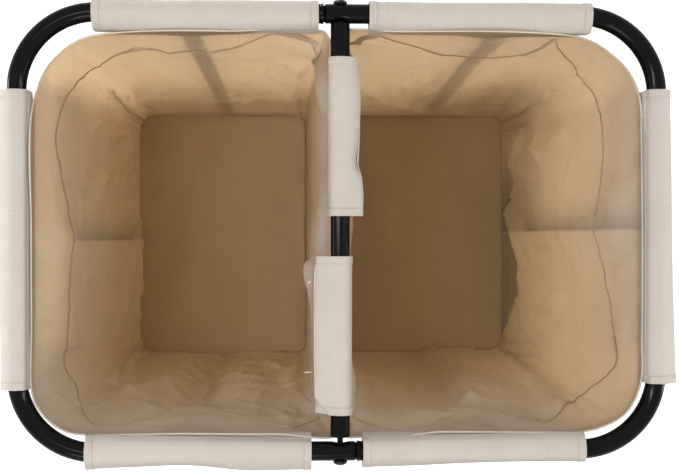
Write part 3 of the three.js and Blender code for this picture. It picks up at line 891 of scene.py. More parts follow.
def fill_hole(piece, below):
    """Closes the open edge that lies below a height with one face."""
    take(piece)
    bpy.ops.object.mode_set(mode="EDIT")
    bpy.ops.mesh.select_mode(type="VERT")
    bpy.ops.mesh.select_all(action="DESELECT")
    bpy.ops.mesh.select_non_manifold()
    bpy.ops.object.mode_set(mode="OBJECT")
    low = [vertex.co.z < below for vertex in piece.data.vertices]
    for vertex in piece.data.vertices:
        vertex.select = vertex.select and low[vertex.index]
    for edge in piece.data.edges:
        edge.select = edge.select and low[edge.vertices[0]]
    bpy.ops.object.mode_set(mode="EDIT")
    bpy.ops.mesh.edge_face_add()
    bpy.ops.object.mode_set(mode="OBJECT")


def thickened(sheet, thickness, offset=-1):
    """Gives a sheet its thickness: inward at -1, to both sides at 0 and outward at 1."""
    skin = sheet.modifiers.new("cloth", "SOLIDIFY")
    skin.thickness = thickness
    skin.offset = offset
    settle(sheet)
    return smooth(sheet, 50)


def unit(vectors):
    return vectors / np.maximum(np.linalg.norm(vectors, axis=-1, keepdims=True), 1e-12)


def reached(path):
    """How far along a path each of its points lies."""
    return np.concatenate([[0], np.cumsum(np.linalg.norm(np.diff(path, axis=0), axis=1))])


def picked(values, steps, stops):
    """Rows of values at stops that are measured as the steps are."""
    return np.column_stack([np.interp(stops, steps, column) for column in values.T])


def bead(name, path, radius, sides=8, closed=True):
    """A thin round binding along a path of points."""
    path = np.asarray(path, float)
    if closed:
        path = np.vstack([path, path[:1]])
    tangents = np.gradient(path, axis=0)
    if closed:
        tangents[0] = tangents[-1] = path[1] - path[-2]
    tangents = unit(tangents)
    side = unit(np.cross(tangents, np.array([0.0, 0.0, 1.0]) + 1e-9))
    rise = np.cross(side, tangents)
    length = np.linalg.norm(np.diff(path, axis=0), axis=1).sum()

    def place(u, v):
        index = np.rint(u * (len(path) - 1)).astype(int)
        angle = 2 * np.pi * v[:, None]
        return path[index] + radius * (side[index] * np.cos(angle) + rise[index] * np.sin(angle))

    tube = wrapped(name, len(path) - 1, sides, place, (length, 2 * math.pi * radius), path[0])
    if not closed:
        take(tube)
        open_all()
        bpy.ops.mesh.region_to_loop()
        bpy.ops.mesh.edge_face_add()
        bpy.ops.object.mode_set(mode="OBJECT")
    return smooth(tube, 60)


# %% Outline of a bin
# END, SIDE, FAR and NEAR are how far the rim lies out from the hamper's middle: at the outer end,
# at the back and front, and at the divider, where it is farther out in front of the jog.
BIN_DEPTH = 0.572
END, SIDE, FAR, NEAR = 0.2995, 0.196, 0.0243, 0.0126
FLOOR_NEAR = 0.027
TAPER_END, TAPER_SIDE = 0.02, 0.015
CORNER_TOP, CORNER_FLOOR, CORNER_INNER, CORNER_JOG = 0.074, 0.03, 0.016, 0.009
JOG_FAR, JOG_NEAR = 0.004, 0.03
HEM_R = 0.005
RUNS = 12


def outline_corners(level):
    """The bin's six corners at a level, 0 at the rim and 1 at the floor, front left one first."""
    one = np.ones_like(level)
    end = -END + TAPER_END * level
    side = SIDE - TAPER_SIDE * level
    far = -FAR + (FAR - FLOOR_NEAR) * level
    near = -NEAR + (NEAR - FLOOR_NEAR) * level
    outer = CORNER_TOP + (CORNER_FLOOR - CORNER_TOP) * level
    return [
        (end, -side, outer),
        (far, -side, CORNER_INNER * one),
        (far, -JOG_FAR * one, CORNER_JOG * one),
        (near, JOG_NEAR * one, CORNER_JOG * one),
        (near, side, CORNER_INNER * one),
        (end, side, outer),
    ]


def outline_runs(level):
    """Where each corner's bend starts, its tip and where the bend ends, at a level."""
    corners = [(np.stack(row[:2], -1), row[2][..., None]) for row in outline_corners(level)]
    runs = []
    for index, (here, radius) in enumerate(corners):
        before, after = corners[index - 1][0], corners[(index + 1) % len(corners)][0]
        start = here + unit(before - here) * radius
        runs.append((start, here, here + unit(after - here) * radius))
    return runs


def run_point(runs, index, t):
    """A place on one of the twelve runs: even ones are bends and odd ones are straight."""
    start, corner, end = runs[index // 2]
    t = t[..., None]
    if index % 2:
        return end * (1 - t) + runs[(index // 2 + 1) % len(runs)][0] * t
    return (1 - t) ** 2 * start + 2 * t * (1 - t) * corner + t**2 * end


def run_lengths():
    t = np.linspace(0, 1, 50)
    runs = outline_runs(np.zeros(50))
    lengths = []
    for index in range(RUNS):
        points = run_point(runs, index, t)
        lengths.append(np.linalg.norm(np.diff(points, axis=0), axis=1).sum())
    return np.array(lengths)


RUN_LENGTHS = run_lengths()
RUN_STARTS = np.concatenate([[0], np.cumsum(RUN_LENGTHS)])
RIM = RUN_STARTS[-1]


def wall_point(along, depth):
    """Where the plain wall is, for metres along the rim and metres below the ring's plane."""
    along = along % RIM
    runs = outline_runs(np.clip(depth / BIN_DEPTH, 0, 1))
    index = np.clip(np.searchsorted(RUN_STARTS, along, side="right") - 1, 0, RUNS - 1)
    share = (along - RUN_STARTS[index]) / RUN_LENGTHS[index]
    flat = np.zeros((len(along), 2))
    for run in range(RUNS):
        here = index == run
        flat[here] = run_point(runs, run, share)[here]
    return flat


def inward(along, depth):
    """The level direction from the plain wall into the bin."""
    step = 0.0015
    run = wall_point(along + step, depth) - wall_point(along - step, depth)
    return unit(np.stack([-run[:, 1], run[:, 0]], -1))


print("rim", round(RIM, 4), "m round")

# %% [markdown]
# ## What each bin does in the photograph
# The bins are like parts, turned half round, but their cloth has settled differently. Places
# below are in millimetres along the rim, from the front left corner of the left bin. The right
# bin's places are in its own turned frame.
#
# The sag is how far the rim hangs below the ring's plane, and the seam is how deep the second
# layer's hem lies. The pull is how far the rim stands in from its plain place. The reach says, for
# places from front to back, how far the rim at the divider lies from the middle line. It fades out
# at a depth in metres, and rounded says how much of the bend at the divider's back end goes with
# it. The board's number is what is kept free at the floor's outer end. A fold has a kind, a path
# of (along, down) places, a height and a width, and a tab has a path and a width.

# %% Noted places on the two bins
BINS = {
    "left": {
        "sag": [
            (0, 2), (60, 1), (120, 1), (290, 2), (325, 7), (345, 8), (372, 2), (470, 3), (500, 8),
            (540, 9), (690, 9), (706, 9), (760, 1), (900, 2), (940, 17), (975, 27), (1010, 20),
            (1040, 3), (1150, 0),
        ],
        "reach": [
            (-200, 7.8), (-177, 7.8), (-164, 23.0), (-120, 23.8), (-50, 24.0), (-32, 23.0),
            (-24, 7.8), (200, 7.8),
        ],
        "turn": 0, "board": 1.6, "rounded": 0.5, "fade": 0.17,
        "pull": [
            (0, -1), (40, -5), (80, -5), (118, -1), (200, 0), (262, -1), (298, -6), (308, -6),
            (324, 0), (708, 0), (720, -3), (750, -3), (800, 0), (940, 1), (976, 2), (1015, 1),
            (1050, 0), (1240, 0), (1290, -1),
        ],
        "seam": [
            (10, 109), (45, 126), (79, 86), (95, 56), (106, 40), (124, 30), (138, 46), (150, 62),
            (172, 84), (203, 95), (218, 94), (238, 73), (257, 45), (268, 34), (290, 58), (318, 80),
            (400, 88), (480, 84), (500, 64), (600, 60), (690, 60), (715, 64), (727, 36), (753, 18),
            (768, 32), (778, 50), (805, 79), (824, 89), (858, 89), (881, 78), (895, 76), (910, 96),
            (932, 132), (951, 150), (986, 150), (1010, 134), (1030, 111), (1051, 89), (1069, 89),
            (1086, 103), (1111, 111), (1150, 107), (1181, 101), (1206, 107), (1238, 102),
            (1262, 107),
        ],
        "folds": [
            ("ridge", [(1163, 60), (1163, 565)], 8.0, 34),
            ("roll", [(23, 545), (54, 415), (78, 250)], 5.0, 16),
            ("crease", [(229, 560), (182, 442), (156, 285), (118, 199)], 5.0, 20),
            ("roll", [(211, 545), (203, 322), (198, 170)], -4.0, 22),
            ("roll", [(262, 520), (255, 330), (250, 190)], 4.0, 34),
            ("crease", [(323, 520), (297, 281), (319, 96)], 3.0, 14),
            ("crease", [(977, 540), (982, 395), (962, 246)], 5.0, 12),
            ("crease", [(1028, 540), (1054, 303), (1034, 249)], 4.5, 11),
            ("crease", [(1058, 500), (1081, 343), (1105, 275)], 3.0, 9),
            ("roll", [(1005, 530), (1015, 400)], -4.0, 12),
            ("roll", [(662, 60), (700, 58)], 13.0, 34),
            ("roll", [(480, 62), (548, 62)], 12.0, 34),
            ("roll", [(578, 62), (622, 62)], -5.0, 34),
            ("crease", [(704, 515), (730, 345), (725, 156)], 6.0, 10),
            ("crease", [(702, 554), (735, 500), (790, 520)], 3.0, 9),
            ("crease", [(1214, 557), (1235, 425), (1278, 331)], 3.0, 10),
            ("crease", [(1178, 470), (1223, 411), (1269, 373)], 2.4, 8),
            ("roll", [(850, 200), (845, 480)], -4.0, 60),
        ],
        "tabs": {
            "tab_back": ([(757, 12), (741, 24), (723, 35)], 6.5),
            "tab_corner": ([(881, 77), (897, 84), (914, 99)], 6.0),
        },
    },
    "right": {
        "sag": [
            (0, 4), (40, 16), (70, 22), (100, 14), (125, 3), (290, 2), (318, 6), (345, 8),
            (372, 4), (470, 4), (500, 8), (540, 9), (690, 9), (706, 6), (760, 1), (916, 1),
            (975, 3), (1036, 1), (1150, 0),
        ],
        "reach": [
            (-200, 7.8), (-178, 7.8), (-168, 16.8), (-130, 18.4), (-90, 17.4), (-66, 16.0),
            (-54, 19.8), (-38, 21.4), (-26, 21.2), (-17, 8.4), (150, 8.6), (200, 7.8),
        ],
        "turn": 1, "board": 8.5, "rounded": 0.0, "fade": 0.3,
        "pull": [
            (0, 0), (60, 2), (120, 0), (262, -1), (298, -4), (308, -4), (324, 0), (704, 0),
            (717, -6), (745, -5), (790, 0), (950, -2), (976, -3), (1010, -2), (1045, 0),
        ],
        "seam": [
            (1, 112), (19, 126), (51, 136), (82, 122), (108, 90), (122, 52), (131, 22), (140, 70),
            (150, 104), (162, 130), (175, 136), (194, 132), (218, 113), (240, 86), (256, 60),
            (268, 40), (280, 22), (303, 56), (312, 74), (326, 78), (400, 86), (500, 88), (600, 86),
            (690, 76), (740, 40), (772, 16), (785, 41), (802, 72), (820, 96), (837, 102),
            (857, 91), (876, 66), (890, 52), (904, 50), (922, 77), (944, 106), (971, 122),
            (998, 108), (1018, 80), (1026, 71), (1058, 71), (1077, 80), (1104, 91), (1128, 99),
            (1146, 98), (1166, 92), (1192, 94), (1218, 96), (1244, 97), (1265, 103),
        ],
        "folds": [
            ("ridge", [(1159, 0), (1159, 430)], 8.0, 32),
            (
                "lap", [(1172, 436), (1155, 433), (1124, 424), (1091, 446), (1054, 520), (1016, 566)],
                13.0, 12,
            ),
            ("crease", [(822, 562), (833, 431), (838, 296), (837, 143)], 7.0, 16),
            ("roll", [(790, 540), (795, 330), (800, 160)], -5.0, 30),
            ("crease", [(933, 510), (934, 384), (934, 257), (926, 96)], 6.0, 15),
            ("roll", [(880, 520), (885, 330), (880, 190)], 4.0, 30),
            ("crease", [(906, 560), (952, 548), (1043, 433), (1083, 286)], 4.0, 14),
            ("crease", [(74, 560), (63, 306)], 4.0, 14),
            ("crease", [(14, 560), (14, 354), (1242, 320)], 5.0, 10),
            ("crease", [(1269, 440), (1222, 450), (1174, 433)], 4.0, 9),
            ("crease", [(1255, 560), (1240, 430), (1262, 250)], 4.0, 9),
            ("roll", [(520, 50), (655, 50)], -6.0, 60),
            ("roll", [(670, 72), (694, 76)], 13.0, 32),
            ("crease", [(716, 228), (719, 90), (722, 20)], 3.0, 10),
            ("roll", [(702, 500), (706, 300)], 5.0, 14),
            ("crease", [(374, 120), (264, 424), (202, 536)], 2.5, 12),
            ("crease", [(115, 464), (148, 535), (199, 566)], 3.0, 10),
            ("roll", [(175, 200), (180, 480)], -4.0, 60),
        ],
        "tabs": {
            "tab_corner": ([(304, 60), (292, 36), (277, 17)], 7.0),
            "tab_back": ([(131, 17), (139, 60), (150, 108)], 5.0),
            "tab_front": ([(903, 46), (890, 53), (876, 66)], 6.0),
            "tab_end": ([(1028, 66), (1044, 66), (1059, 68)], 4.5),
        },
    },
}


def to_fold(along, depth, path):
    """Distance from each place to a fold's line, and which side of it the place is on.

    Places are in millimetres, and the shorter way round the rim counts.
    """
    best = np.full(along.shape, 1e9)
    side = np.zeros(along.shape)
    half = 500 * RIM
    for (a, b), (c, d) in zip(path, path[1:]):
        run = (c - a + half) % (2 * half) - half, d - b
        x = (along - a + half) % (2 * half) - half
        y = depth - b
        t = np.clip((x * run[0] + y * run[1]) / (run[0] ** 2 + run[1] ** 2), 0, 1)
        away = np.hypot(x - t * run[0], y - t * run[1])
        turn = np.sign(run[0] * y - run[1] * x)
        side = np.where(away < best, turn, side)
        best = np.minimum(best, away)
    return best, side


def blended(table, at):
    """Values between those of a table, without overshoot."""
    places, values = (np.array(column, float) for column in zip(*table))
    index = np.clip(np.searchsorted(places, at, side="right") - 1, 0, len(places) - 2)
    share = eased(at, places[index], places[index + 1])
    return values[index] * (1 - share) + values[index + 1] * share


def folded(along, depth, row):
    """How far the wall stands in from its plain place, in metres.

    Under the noted folds lie broad swells, fine waves, two nets of slanting creases and, most of
    them low on the end walls, level ones. All fade toward the rim, the foot and the divider.
    """
    along, depth = along * 1000 % (RIM * 1000), depth * 1000
    turn = row["turn"]
    push = 4.0 * ripple(along, depth * 0.7, 110, 3.1 + turn)
    push += 2.6 * ripple(along, depth * 0.5, 44, 7.7 + turn)
    fine = ripple(along, depth * 0.3, 19, 1.7 + turn)
    tilt = along + depth * 0.35
    creases = np.maximum(0, 1 - abs(ripple(tilt, depth * 0.5, 62, 5.3 + turn)) * 6) ** 2
    tilt = along - depth * 0.5
    crossed = np.maximum(0, 1 - abs(ripple(tilt, depth * 0.8, 80, 8.3 + turn)) * 7) ** 2
    low = eased(depth, 120, 480)
    ends = abs(np.cos(np.pi * (along - 155) / (RIM * 500))) ** 4
    level = ripple(along * 0.22, depth + along * 0.06, 15, 2.9 + turn)
    level *= 0.4 + 1.3 * low
    level *= 0.35 + 0.65 * ends
    push += fine * (0.6 + 0.9 * low) + (creases + crossed) * (2.0 + 2.4 * low) + 1.6 * level
    for kind, path, height, width in row["folds"]:
        away, side = to_fold(along, depth, path)
        if kind == "crease":
            push += 2.6 * height * np.exp(-away / width)
        elif kind == "ridge":
            slope = np.where(away * side > 0, width * 0.9, width * 2.4)
            push += 2.0 * height * np.exp(-(np.hypot(away, 2) - 2) / slope)
        elif kind == "roll":
            push += 2.2 * height * np.exp(-((away / width) ** 2))
        else:
            proud = eased(away * side, -width / 2, width / 2)
            push += height * proud * np.exp(-np.maximum(away * side, 0) / (5 * width))
            push -= 0.5 * height * (1 - proud) * np.exp(-away / (3 * width))
    divider = eased(along, 300, 330) * (1 - eased(along, 695, 720))
    push = push * (1 - 0.6 * divider)
    hang = eased(depth, 8, 60) * (1 - eased(depth, 525, 566))
    pull = blended(row["pull"], along) * (1 - eased(depth, 0, 170))
    return (np.maximum(push, -3.5) * hang + pull) * MILLIMETRE


# %% Bin shells
WALL_ROWS = 112
HEM_ROWS = 4
DIVIDER_RUN = (RUN_STARTS[2], RUN_STARTS[9])
FRONT_RUN = 0.2
BACK_RUN = 0.05
CLEAR = 0.0078
SPINE = (-0.2, -0.1)
FLOOR_SHARES = (0.03, 0.1, 0.22, 0.4, 0.6, 0.8)
BIN_COLUMNS = 288
BIN_CLOTH = 0.001
LEAST_FACING = 0.012
PUCKER_PITCH = 6.1


def half_turn(points, row):
    return points * (-1, -1, 1) if row["turn"] else points


def inside(row, depth):
    """A point in a bin, which tells the inner side of its cloth from the outer one."""
    return half_turn(np.array([[-0.15, 0.0, RING_Z - depth]]), row)[0]


def to_spine(flat, share):
    """Moves places a share of the way in to the line along the floor's middle."""
    flat[:, 0] += (np.clip(flat[:, 0], *SPINE) - flat[:, 0]) * share
    flat[:, 1] -= flat[:, 1] * share


def curve(row, key, along):
    """A noted sag or seam in metres, for metres along the rim."""
    return drawn(row[key], along * 1000, RIM * 1000) * MILLIMETRE


def hem_depth(row, along):
    """How deep the second layer's lower edge lies, at least LEAST_FACING below the rim."""
    return np.maximum(curve(row, "seam", along), curve(row, "sag", along) + LEAST_FACING)


def puckered(along):
    """Small waves that the hem's stitches make, weaker and stronger along it."""
    along = along * 1000
    return 0.9 * np.sin(along / PUCKER_PITCH) * ripple(along, 0 * along, 40, 9.0) + 0.6


def drawn_in(along, depth, row):
    """How far the rim is moved toward or past the divider, and out under the sleeves' flaps."""
    at = along % RIM
    rim = wall_point(at, np.zeros(len(at)))
    reach = np.interp(rim[:, 1] * 1000, *zip(*row["reach"])) * -MILLIMETRE
    rounded = (at > RUN_STARTS[8]) * row["rounded"] * (rim[:, 0] + NEAR)
    wall = (at > DIVIDER_RUN[0]) & (at < DIVIDER_RUN[1])
    move = np.where(wall, reach + rounded - rim[:, 0], 0.0)
    front = (FAR + CORNER_INNER - CLEAR) * eased(at, FRONT_RUN, DIVIDER_RUN[0])
    move = np.where(at <= DIVIDER_RUN[0], front, move)
    back = NEAR + CORNER_INNER * (1 - row["rounded"]) - CLEAR
    back = back * (1 - eased(at, DIVIDER_RUN[1], DIVIDER_RUN[1] + BACK_RUN))
    move = np.where(at >= DIVIDER_RUN[1], back, move)
    return move * (1 - eased(depth, 0.01, row["fade"]))


def wall_place(along, depth, row, inset=0.0):
    """The dressed wall at places along the rim and depths, moved in by inset."""
    inner = inward(along, depth)
    flat = wall_point(along, depth) + inner * (folded(along, depth, row) + inset)[:, None]
    flat[:, 0] += drawn_in(along, depth, row)
    return half_turn(np.column_stack([flat, RING_Z - depth]), row)


def bin_shell(name, row):
    """One sheet from the rim down, round the foot and in over the floor."""
    rows = WALL_ROWS + HEM_ROWS + len(FLOOR_SHARES)

    def place(u, v):
        along = u * RIM
        number = np.rint(v * rows)
        sag = curve(row, "sag", along)
        wall_share = np.clip(number / WALL_ROWS, 0, 1)
        angle = np.clip((number - WALL_ROWS) / HEM_ROWS, 0, 1) * QUARTER
        depth = sag + (BIN_DEPTH - HEM_R - sag) * wall_share + HEM_R * np.sin(angle)
        points = half_turn(wall_place(along, depth, row, HEM_R * (1 - np.cos(angle))), row)
        row_in = number - WALL_ROWS - HEM_ROWS
        to_spine(points, np.interp(row_in, range(len(FLOOR_SHARES) + 1), (0, *FLOOR_SHARES)))
        return half_turn(points, row)

    centre = inside(row, BIN_DEPTH / 2)
    shell = wrapped(name, BIN_COLUMNS, rows, place, (RIM, BIN_DEPTH + 0.15), centre)
    fill_hole(shell, RING_Z - BIN_DEPTH + 0.001)
    face_out(shell, centre)
    return thickened(shell, BIN_CLOTH)


FACING_HEM = 0.003


def facing(name, row):
    """The second layer's hem, a narrow strip whose lower edge is puckered."""

    def place(u, v):
        along = u * RIM
        depth = hem_depth(row, along) - FACING_HEM * (1 - v)
        pucker = 0.2 * np.sqrt(v) + 0.45 * v**3 * (0.3 + puckered(along))
        return wall_place(along, depth, row, BIN_CLOTH - 0.0003 + MILLIMETRE * pucker)

    layer = wrapped(name, BIN_COLUMNS * 2, 5, place, (RIM, 0.1), inside(row, 0.05))
    return thickened(layer, 0.0005, 1)


def facing_edge(name, row):
    """The fold along the hem's lower edge."""
    along = np.linspace(0, RIM, BIN_COLUMNS * 3, endpoint=False)
    depth = hem_depth(row, along) + 0.0007 * ripple(along * 1000, 0 * along, 9, 4.0)
    proud = BIN_CLOTH + 0.0002 + 0.00045 * (0.3 + puckered(along))
    return bead(name, wall_place(along, depth, row, proud), 0.0005, 6)


def rim_binding(name, row):
    along = np.linspace(0, RIM, BIN_COLUMNS * 2, endpoint=False)
    path = wall_place(along, curve(row, "sag", along) + 0.0008, row, 0.0009)
    return bead(name, path, 0.0009, 8)


def floor_binding(name, row):
    along = np.linspace(0, RIM, BIN_COLUMNS, endpoint=False)
    depth = np.full(len(along), BIN_DEPTH - HEM_R * 0.3)
    return bead(name, wall_place(along, depth, row, HEM_R * 0.25 - 0.0006), 0.0008, 6)


def tab(name, path, width, row):
    """A short tape caught in the seam: it lies along the wall, a little proud in its middle."""
    path = np.array(path, float)
    steps = reached(path)
    ahead = unit(np.gradient(path, axis=0))

    def place(u, v):
        at = u * steps[-1]
        spot, run = picked(path, steps, at), picked(ahead, steps, at)
        off = (v - 0.5) * width
        along, depth = spot[:, 0] - run[:, 1] * off, spot[:, 1] + run[:, 0] * off
        stand = BIN_CLOTH + 0.0008 + 0.0009 * np.sin(np.pi * u) ** 0.7 + 0.0003 * np.sin(u * 21)
        return wall_place(along * MILLIMETRE, depth * MILLIMETRE, row, stand)

    size = (steps[-1] * MILLIMETRE, width * MILLIMETRE)
    return thickened(wrapped(name, 40, 6, place, size, inside(row, 0.05)), 0.0007, 1)


for side, row in BINS.items():
    tapes = [tab(f"bin_{side}_{name}", *tape, row) for name, tape in row["tabs"].items()]
    shell = bin_shell(f"bin_{side}_shell", row)
    layer = facing(f"bin_{side}_facing", row)
    pucker = facing_edge(f"bin_{side}_facing_edge", row)
    rim = rim_binding(f"bin_{side}_rim", row)
    foot = floor_binding(f"bin_{side}_floor_seam", row)
    wear(shell, bin_finish, "bin_cloth", f"bag_{side}")
    wear(layer, facing_finish, "bin_cloth")
    for edge, finish in ((pucker, facing_finish), (rim, binding_finish), (foot, facing_finish)):
        wear(edge, finish, "bin_cloth")
    for tape in tapes:
        wear(tape, tape_finish, "bin_cloth")
    print(side, "bin shell", len(shell.data.polygons), "faces")

# %% Base boards
BOARD_LOW = 0.0019
BOARD_HIGH = 0.0049
BOARD_FREE = 2.4


def board_inset(along, row):
    """Millimetres kept free round the board. At the bin's outer end it differs between the bins."""
    end = 1 - eased(along, 0.0, 0.1) * (1 - eased(along, RUN_STARTS[10], RUN_STARTS[11]))
    return (BOARD_FREE + (row["board"] - BOARD_FREE) * end) * MILLIMETRE


def base_board(name, row):
    """A stiff board in a cloth cover: rings run up its edge and in over its slightly slack top."""
    steps = [
        (0.3, BOARD_LOW), (0.02, BOARD_LOW), (0.0, BOARD_LOW + 0.0006),
        (0.0, BOARD_HIGH - 0.0008), (0.004, BOARD_HIGH - 0.0003),
    ]
    steps += [(share, BOARD_HIGH) for share in (0.012, 0.06, 0.12, *np.linspace(0.18, 0.94, 14))]
    shares, heights = (np.array(column) for column in zip(*steps))

    def place(u, v):
        along = u * RIM
        number = np.rint(v * (len(steps) - 1)).astype(int)
        depth = np.full(len(along), BIN_DEPTH)
        flat = wall_point(along, depth) + inward(along, depth) * board_inset(along, row)[:, None]
        to_spine(flat, shares[number])
        slack = 0.0005 * ripple(flat[:, 0] * 1000, flat[:, 1] * 1000, 60, 2.0 + row["turn"])
        slack -= 0.0006 * np.exp(-abs(flat[:, 0] + 0.234) / 0.0016) * row["turn"]
        z = RING_Z - BIN_DEPTH + heights[number] + slack * (number > 4)
        return half_turn(np.column_stack([flat, z]), row)

    board = wrapped(name, 160, len(steps) - 1, place, (1.2, 0.25))
    take(board)
    open_all()
    bpy.ops.mesh.fill_holes(sides=0)
    bpy.ops.object.mode_set(mode="OBJECT")
    return smooth(face_out(board), 40)


for side, row in BINS.items():
    board = base_board(f"board_{side}", row)
    wear(board, board_finish, "board", f"base_board_{side}")
    print(side, "board", len(board.data.polygons), "faces")

# %% [markdown]
# ## Sleeves
# Eight sleeves of thicker, linen-look cloth hang the bins on the tubes. Each is one strip: up the
# bin's wall, loosely over the tube, back under it and down the wall again, where both edges are
# sewn. The loose side waves a little, and both ends are hemmed. At the back and the front, a slot
# lets a leg's socket out.

# %% Sleeve table
# from and to are a sleeve's ends on the plan, leg is its socket's x, and inward points to the
# bin. wall, inner and outer are how far the cloth reaches from the tube's axis: at the bin's wall,
# at the tube's inner side and at its outer side. They are rows of (place along the sleeve, reach)
# or one reach. All are in millimetres.
FULL = 16.7
TIGHT = 12.2
FLAP = 24.0
SLEEVES = {
    "back_left": {
        "from": (-239, 213), "to": (-21, 213), "inward": (0, -1), "wall": FULL, "leg": -148,
        "inner": [(0, 16.7), (109, 16.9), (180, 15.6), (218, 14.8)],
        "outer": [(0, 12.0), (60, 11.6), (150, 12.2), (218, 11.8)],
    },
    "back_right": {
        "from": (28, 213), "to": (246, 213), "inward": (0, -1), "wall": FULL, "leg": 148,
        "inner": [(0, 15.7), (100, 16.4), (218, 17.2)],
        "outer": [(0, 11.9), (80, 11.4), (160, 11.9), (218, 11.5)],
    },
    "front_left": {
        "from": (-246, -213), "to": (-28, -213), "inward": (0, 1), "wall": FULL, "leg": -148,
        "inner": [(0, 17.4), (40, 16.6), (110, 15.0), (170, 13.4), (218, 12.6)],
        "outer": [(0, 15.4), (30, 14.2), (60, 13.2), (88, 12.3), (110, 13.2), (134, 15.8), (158, 17.6),
                  (184, 17.4), (218, 17.0)],
    },
    "front_right": {
        "from": (22, -213), "to": (240, -213), "inward": (0, 1), "wall": FULL, "leg": 148,
        "inner": [(0, 14.0), (110, 15.4), (218, 16.8)],
        "outer": [(0, 15.4), (60, 14.0), (100, 12.4), (140, 11.5), (218, 11.6)],
    },
    "end_left": {
        "from": (-312, 137), "to": (-312, -151), "inward": (1, 0), "wall": TIGHT, "leg": None,
        "inner": [(0, 12.9), (30, 11.8), (90, 11.4), (200, 11.3), (288, 11.5)],
        "outer": [(0, 15.4), (50, 16.8), (110, 17.8), (160, 16.9), (230, 15.6), (288, 14.6)],
    },
    "end_right": {
        "from": (312, -148), "to": (312, 140), "inward": (-1, 0), "wall": TIGHT, "leg": None,
        "inner": [(0, 11.6), (150, 11.4), (288, 12.4)],
        "outer": [(0, 19.4), (40, 18.0), (110, 16.0), (200, 14.8), (288, 13.0)],
    },
    "divider_back": {
        "from": (0, 170), "to": (0, 16), "inward": (1, 0), "leg": None,
        "wall": [(0, 17.2), (40, 18.8), (80, 17.8), (106, 16.4), (116, 20.2), (132, 21.8), (154, 22.4)],
        "inner": [(0, 16.8), (40, 18.4), (80, 17.4), (106, 15.8), (116, 19.6), (132, 21.4), (154, 22.0)],
        "outer": [(0, 10.9), (60, 11.3), (154, 11.0)],
    },
    "divider_front": {
        "from": (0, -177), "to": (0, -23), "inward": (-1, 0), "wall": FLAP, "leg": None,
        "inner": [(0, 13.0), (6, 17.0), (13, 22.0), (40, 23.6), (80, 24.0), (120, 24.2), (154, 22.8)],
        "outer": [(0, 11.4), (60, 11.2), (154, 11.4)],
    },
}
SLEEVE_CLOTH = 0.0006
HEM = 7.0
SECTION_ROWS = 78
WEAVE_SPAN = 0.11
SLOT_R = 0.0115


def length_of(row):
    return math.hypot(row["to"][0] - row["from"][0], row["to"][1] - row["from"][1])


def section(row, place):
    """The strip's control points (outward, up) in millimetres, at places along the tube.

    They run from the lower edge up the bin's wall, over the tube, back under it and down again.
    """
    wall = row["wall"]
    wall = drawn(wall, place) if isinstance(wall, list) else np.full(place.shape, wall)
    inner, outer = drawn(row["inner"], place), drawn(row["outer"], place)
    tail = np.full(place.shape, 14.0)
    if row["leg"] is not None:
        tail += 11 * np.maximum(0, 1 - abs(place - leg_place(row)) / 42) ** 1.6
    flat = np.zeros(place.shape)
    hem = 0.5 * (1 - eased(np.minimum(place, length_of(row) - place), HEM, HEM + 0.8))
    wave = 0.5 * ripple(place, flat, 30, sum(row["from"])) + 0.25 * ripple(place, flat, 11, 3.0)
    shoulder = np.minimum(inner - 0.8, 8.4 + (inner - 11) * 0.35)
    return [
        (0.35 - wall, -tail),
        (0.35 - wall, flat - 9),
        (-inner - (wall - inner) * 0.5, flat - 4.5),
        (-inner, flat - 0.4),
        (0.9 - inner, 3.0 + 0.3 * wave),
        (-shoulder, 8.5 + hem - (shoulder - 8.4) * 0.35 + 0.4 * wave),
        (flat, 10.75 + hem + 0.3 * wave),
        (8.0 + 0.5 * hem, 8.3 + hem),
        (outer + hem, 0.8 + flat),
        (outer - 1.2 + hem, -6.5 + wave),
        (flat + 5.5, -11.9 - hem + wave),
        (flat - 2.5, -13.3 - hem),
        (-9.5 - (wall - FULL) * 0.2, -12.4 - hem),
        (1.8 - wall, flat - 11.4),
        (1.15 - wall, -tail),
    ]


def leg_place(row):
    return abs(row["leg"] - row["from"][0])


def strip(row, u, v):
    """Points of a sleeve's strip for shares along the tube and across the cut."""
    place = u * length_of(row)
    points = section(row, place)
    out = np.stack([point[0] for point in points])
    up = np.stack([point[1] for point in points])
    at = v * (len(points) - 1)
    low = np.clip(at.astype(int), 0, len(points) - 2)
    t = at - low
    column = np.arange(len(place))

    def through(values):
        a, b, c, d = (
            values[np.clip(low + step, 0, len(points) - 1), column] for step in (-1, 0, 1, 2)
        )
        square, cube = 2 * a - 5 * b + 4 * c - d, 3 * b - a - 3 * c + d
        return 0.5 * (2 * b + (c - a) * t + square * t**2 + cube * t**3)

    out, up = through(out), through(up)
    start, end, inner = (np.array(row[key], float) for key in ("from", "to", "inward"))
    flat = start + (end - start) * u[:, None] - inner * out[:, None]
    return np.column_stack([flat * MILLIMETRE, RING_Z + up * MILLIMETRE])


def hem_steps(length):
    """Shares along a sleeve of a length in millimetres, closer together at the hems' edges."""
    ends = [0, 0.4, 2.5, 5, HEM - 0.2, HEM + 0.3, HEM + 0.9, HEM + 2]
    middle = np.linspace(HEM + 5, length - HEM - 5, int(length / 4))
    return np.array([*ends, *middle, *(length - place for place in reversed(ends))]) / length


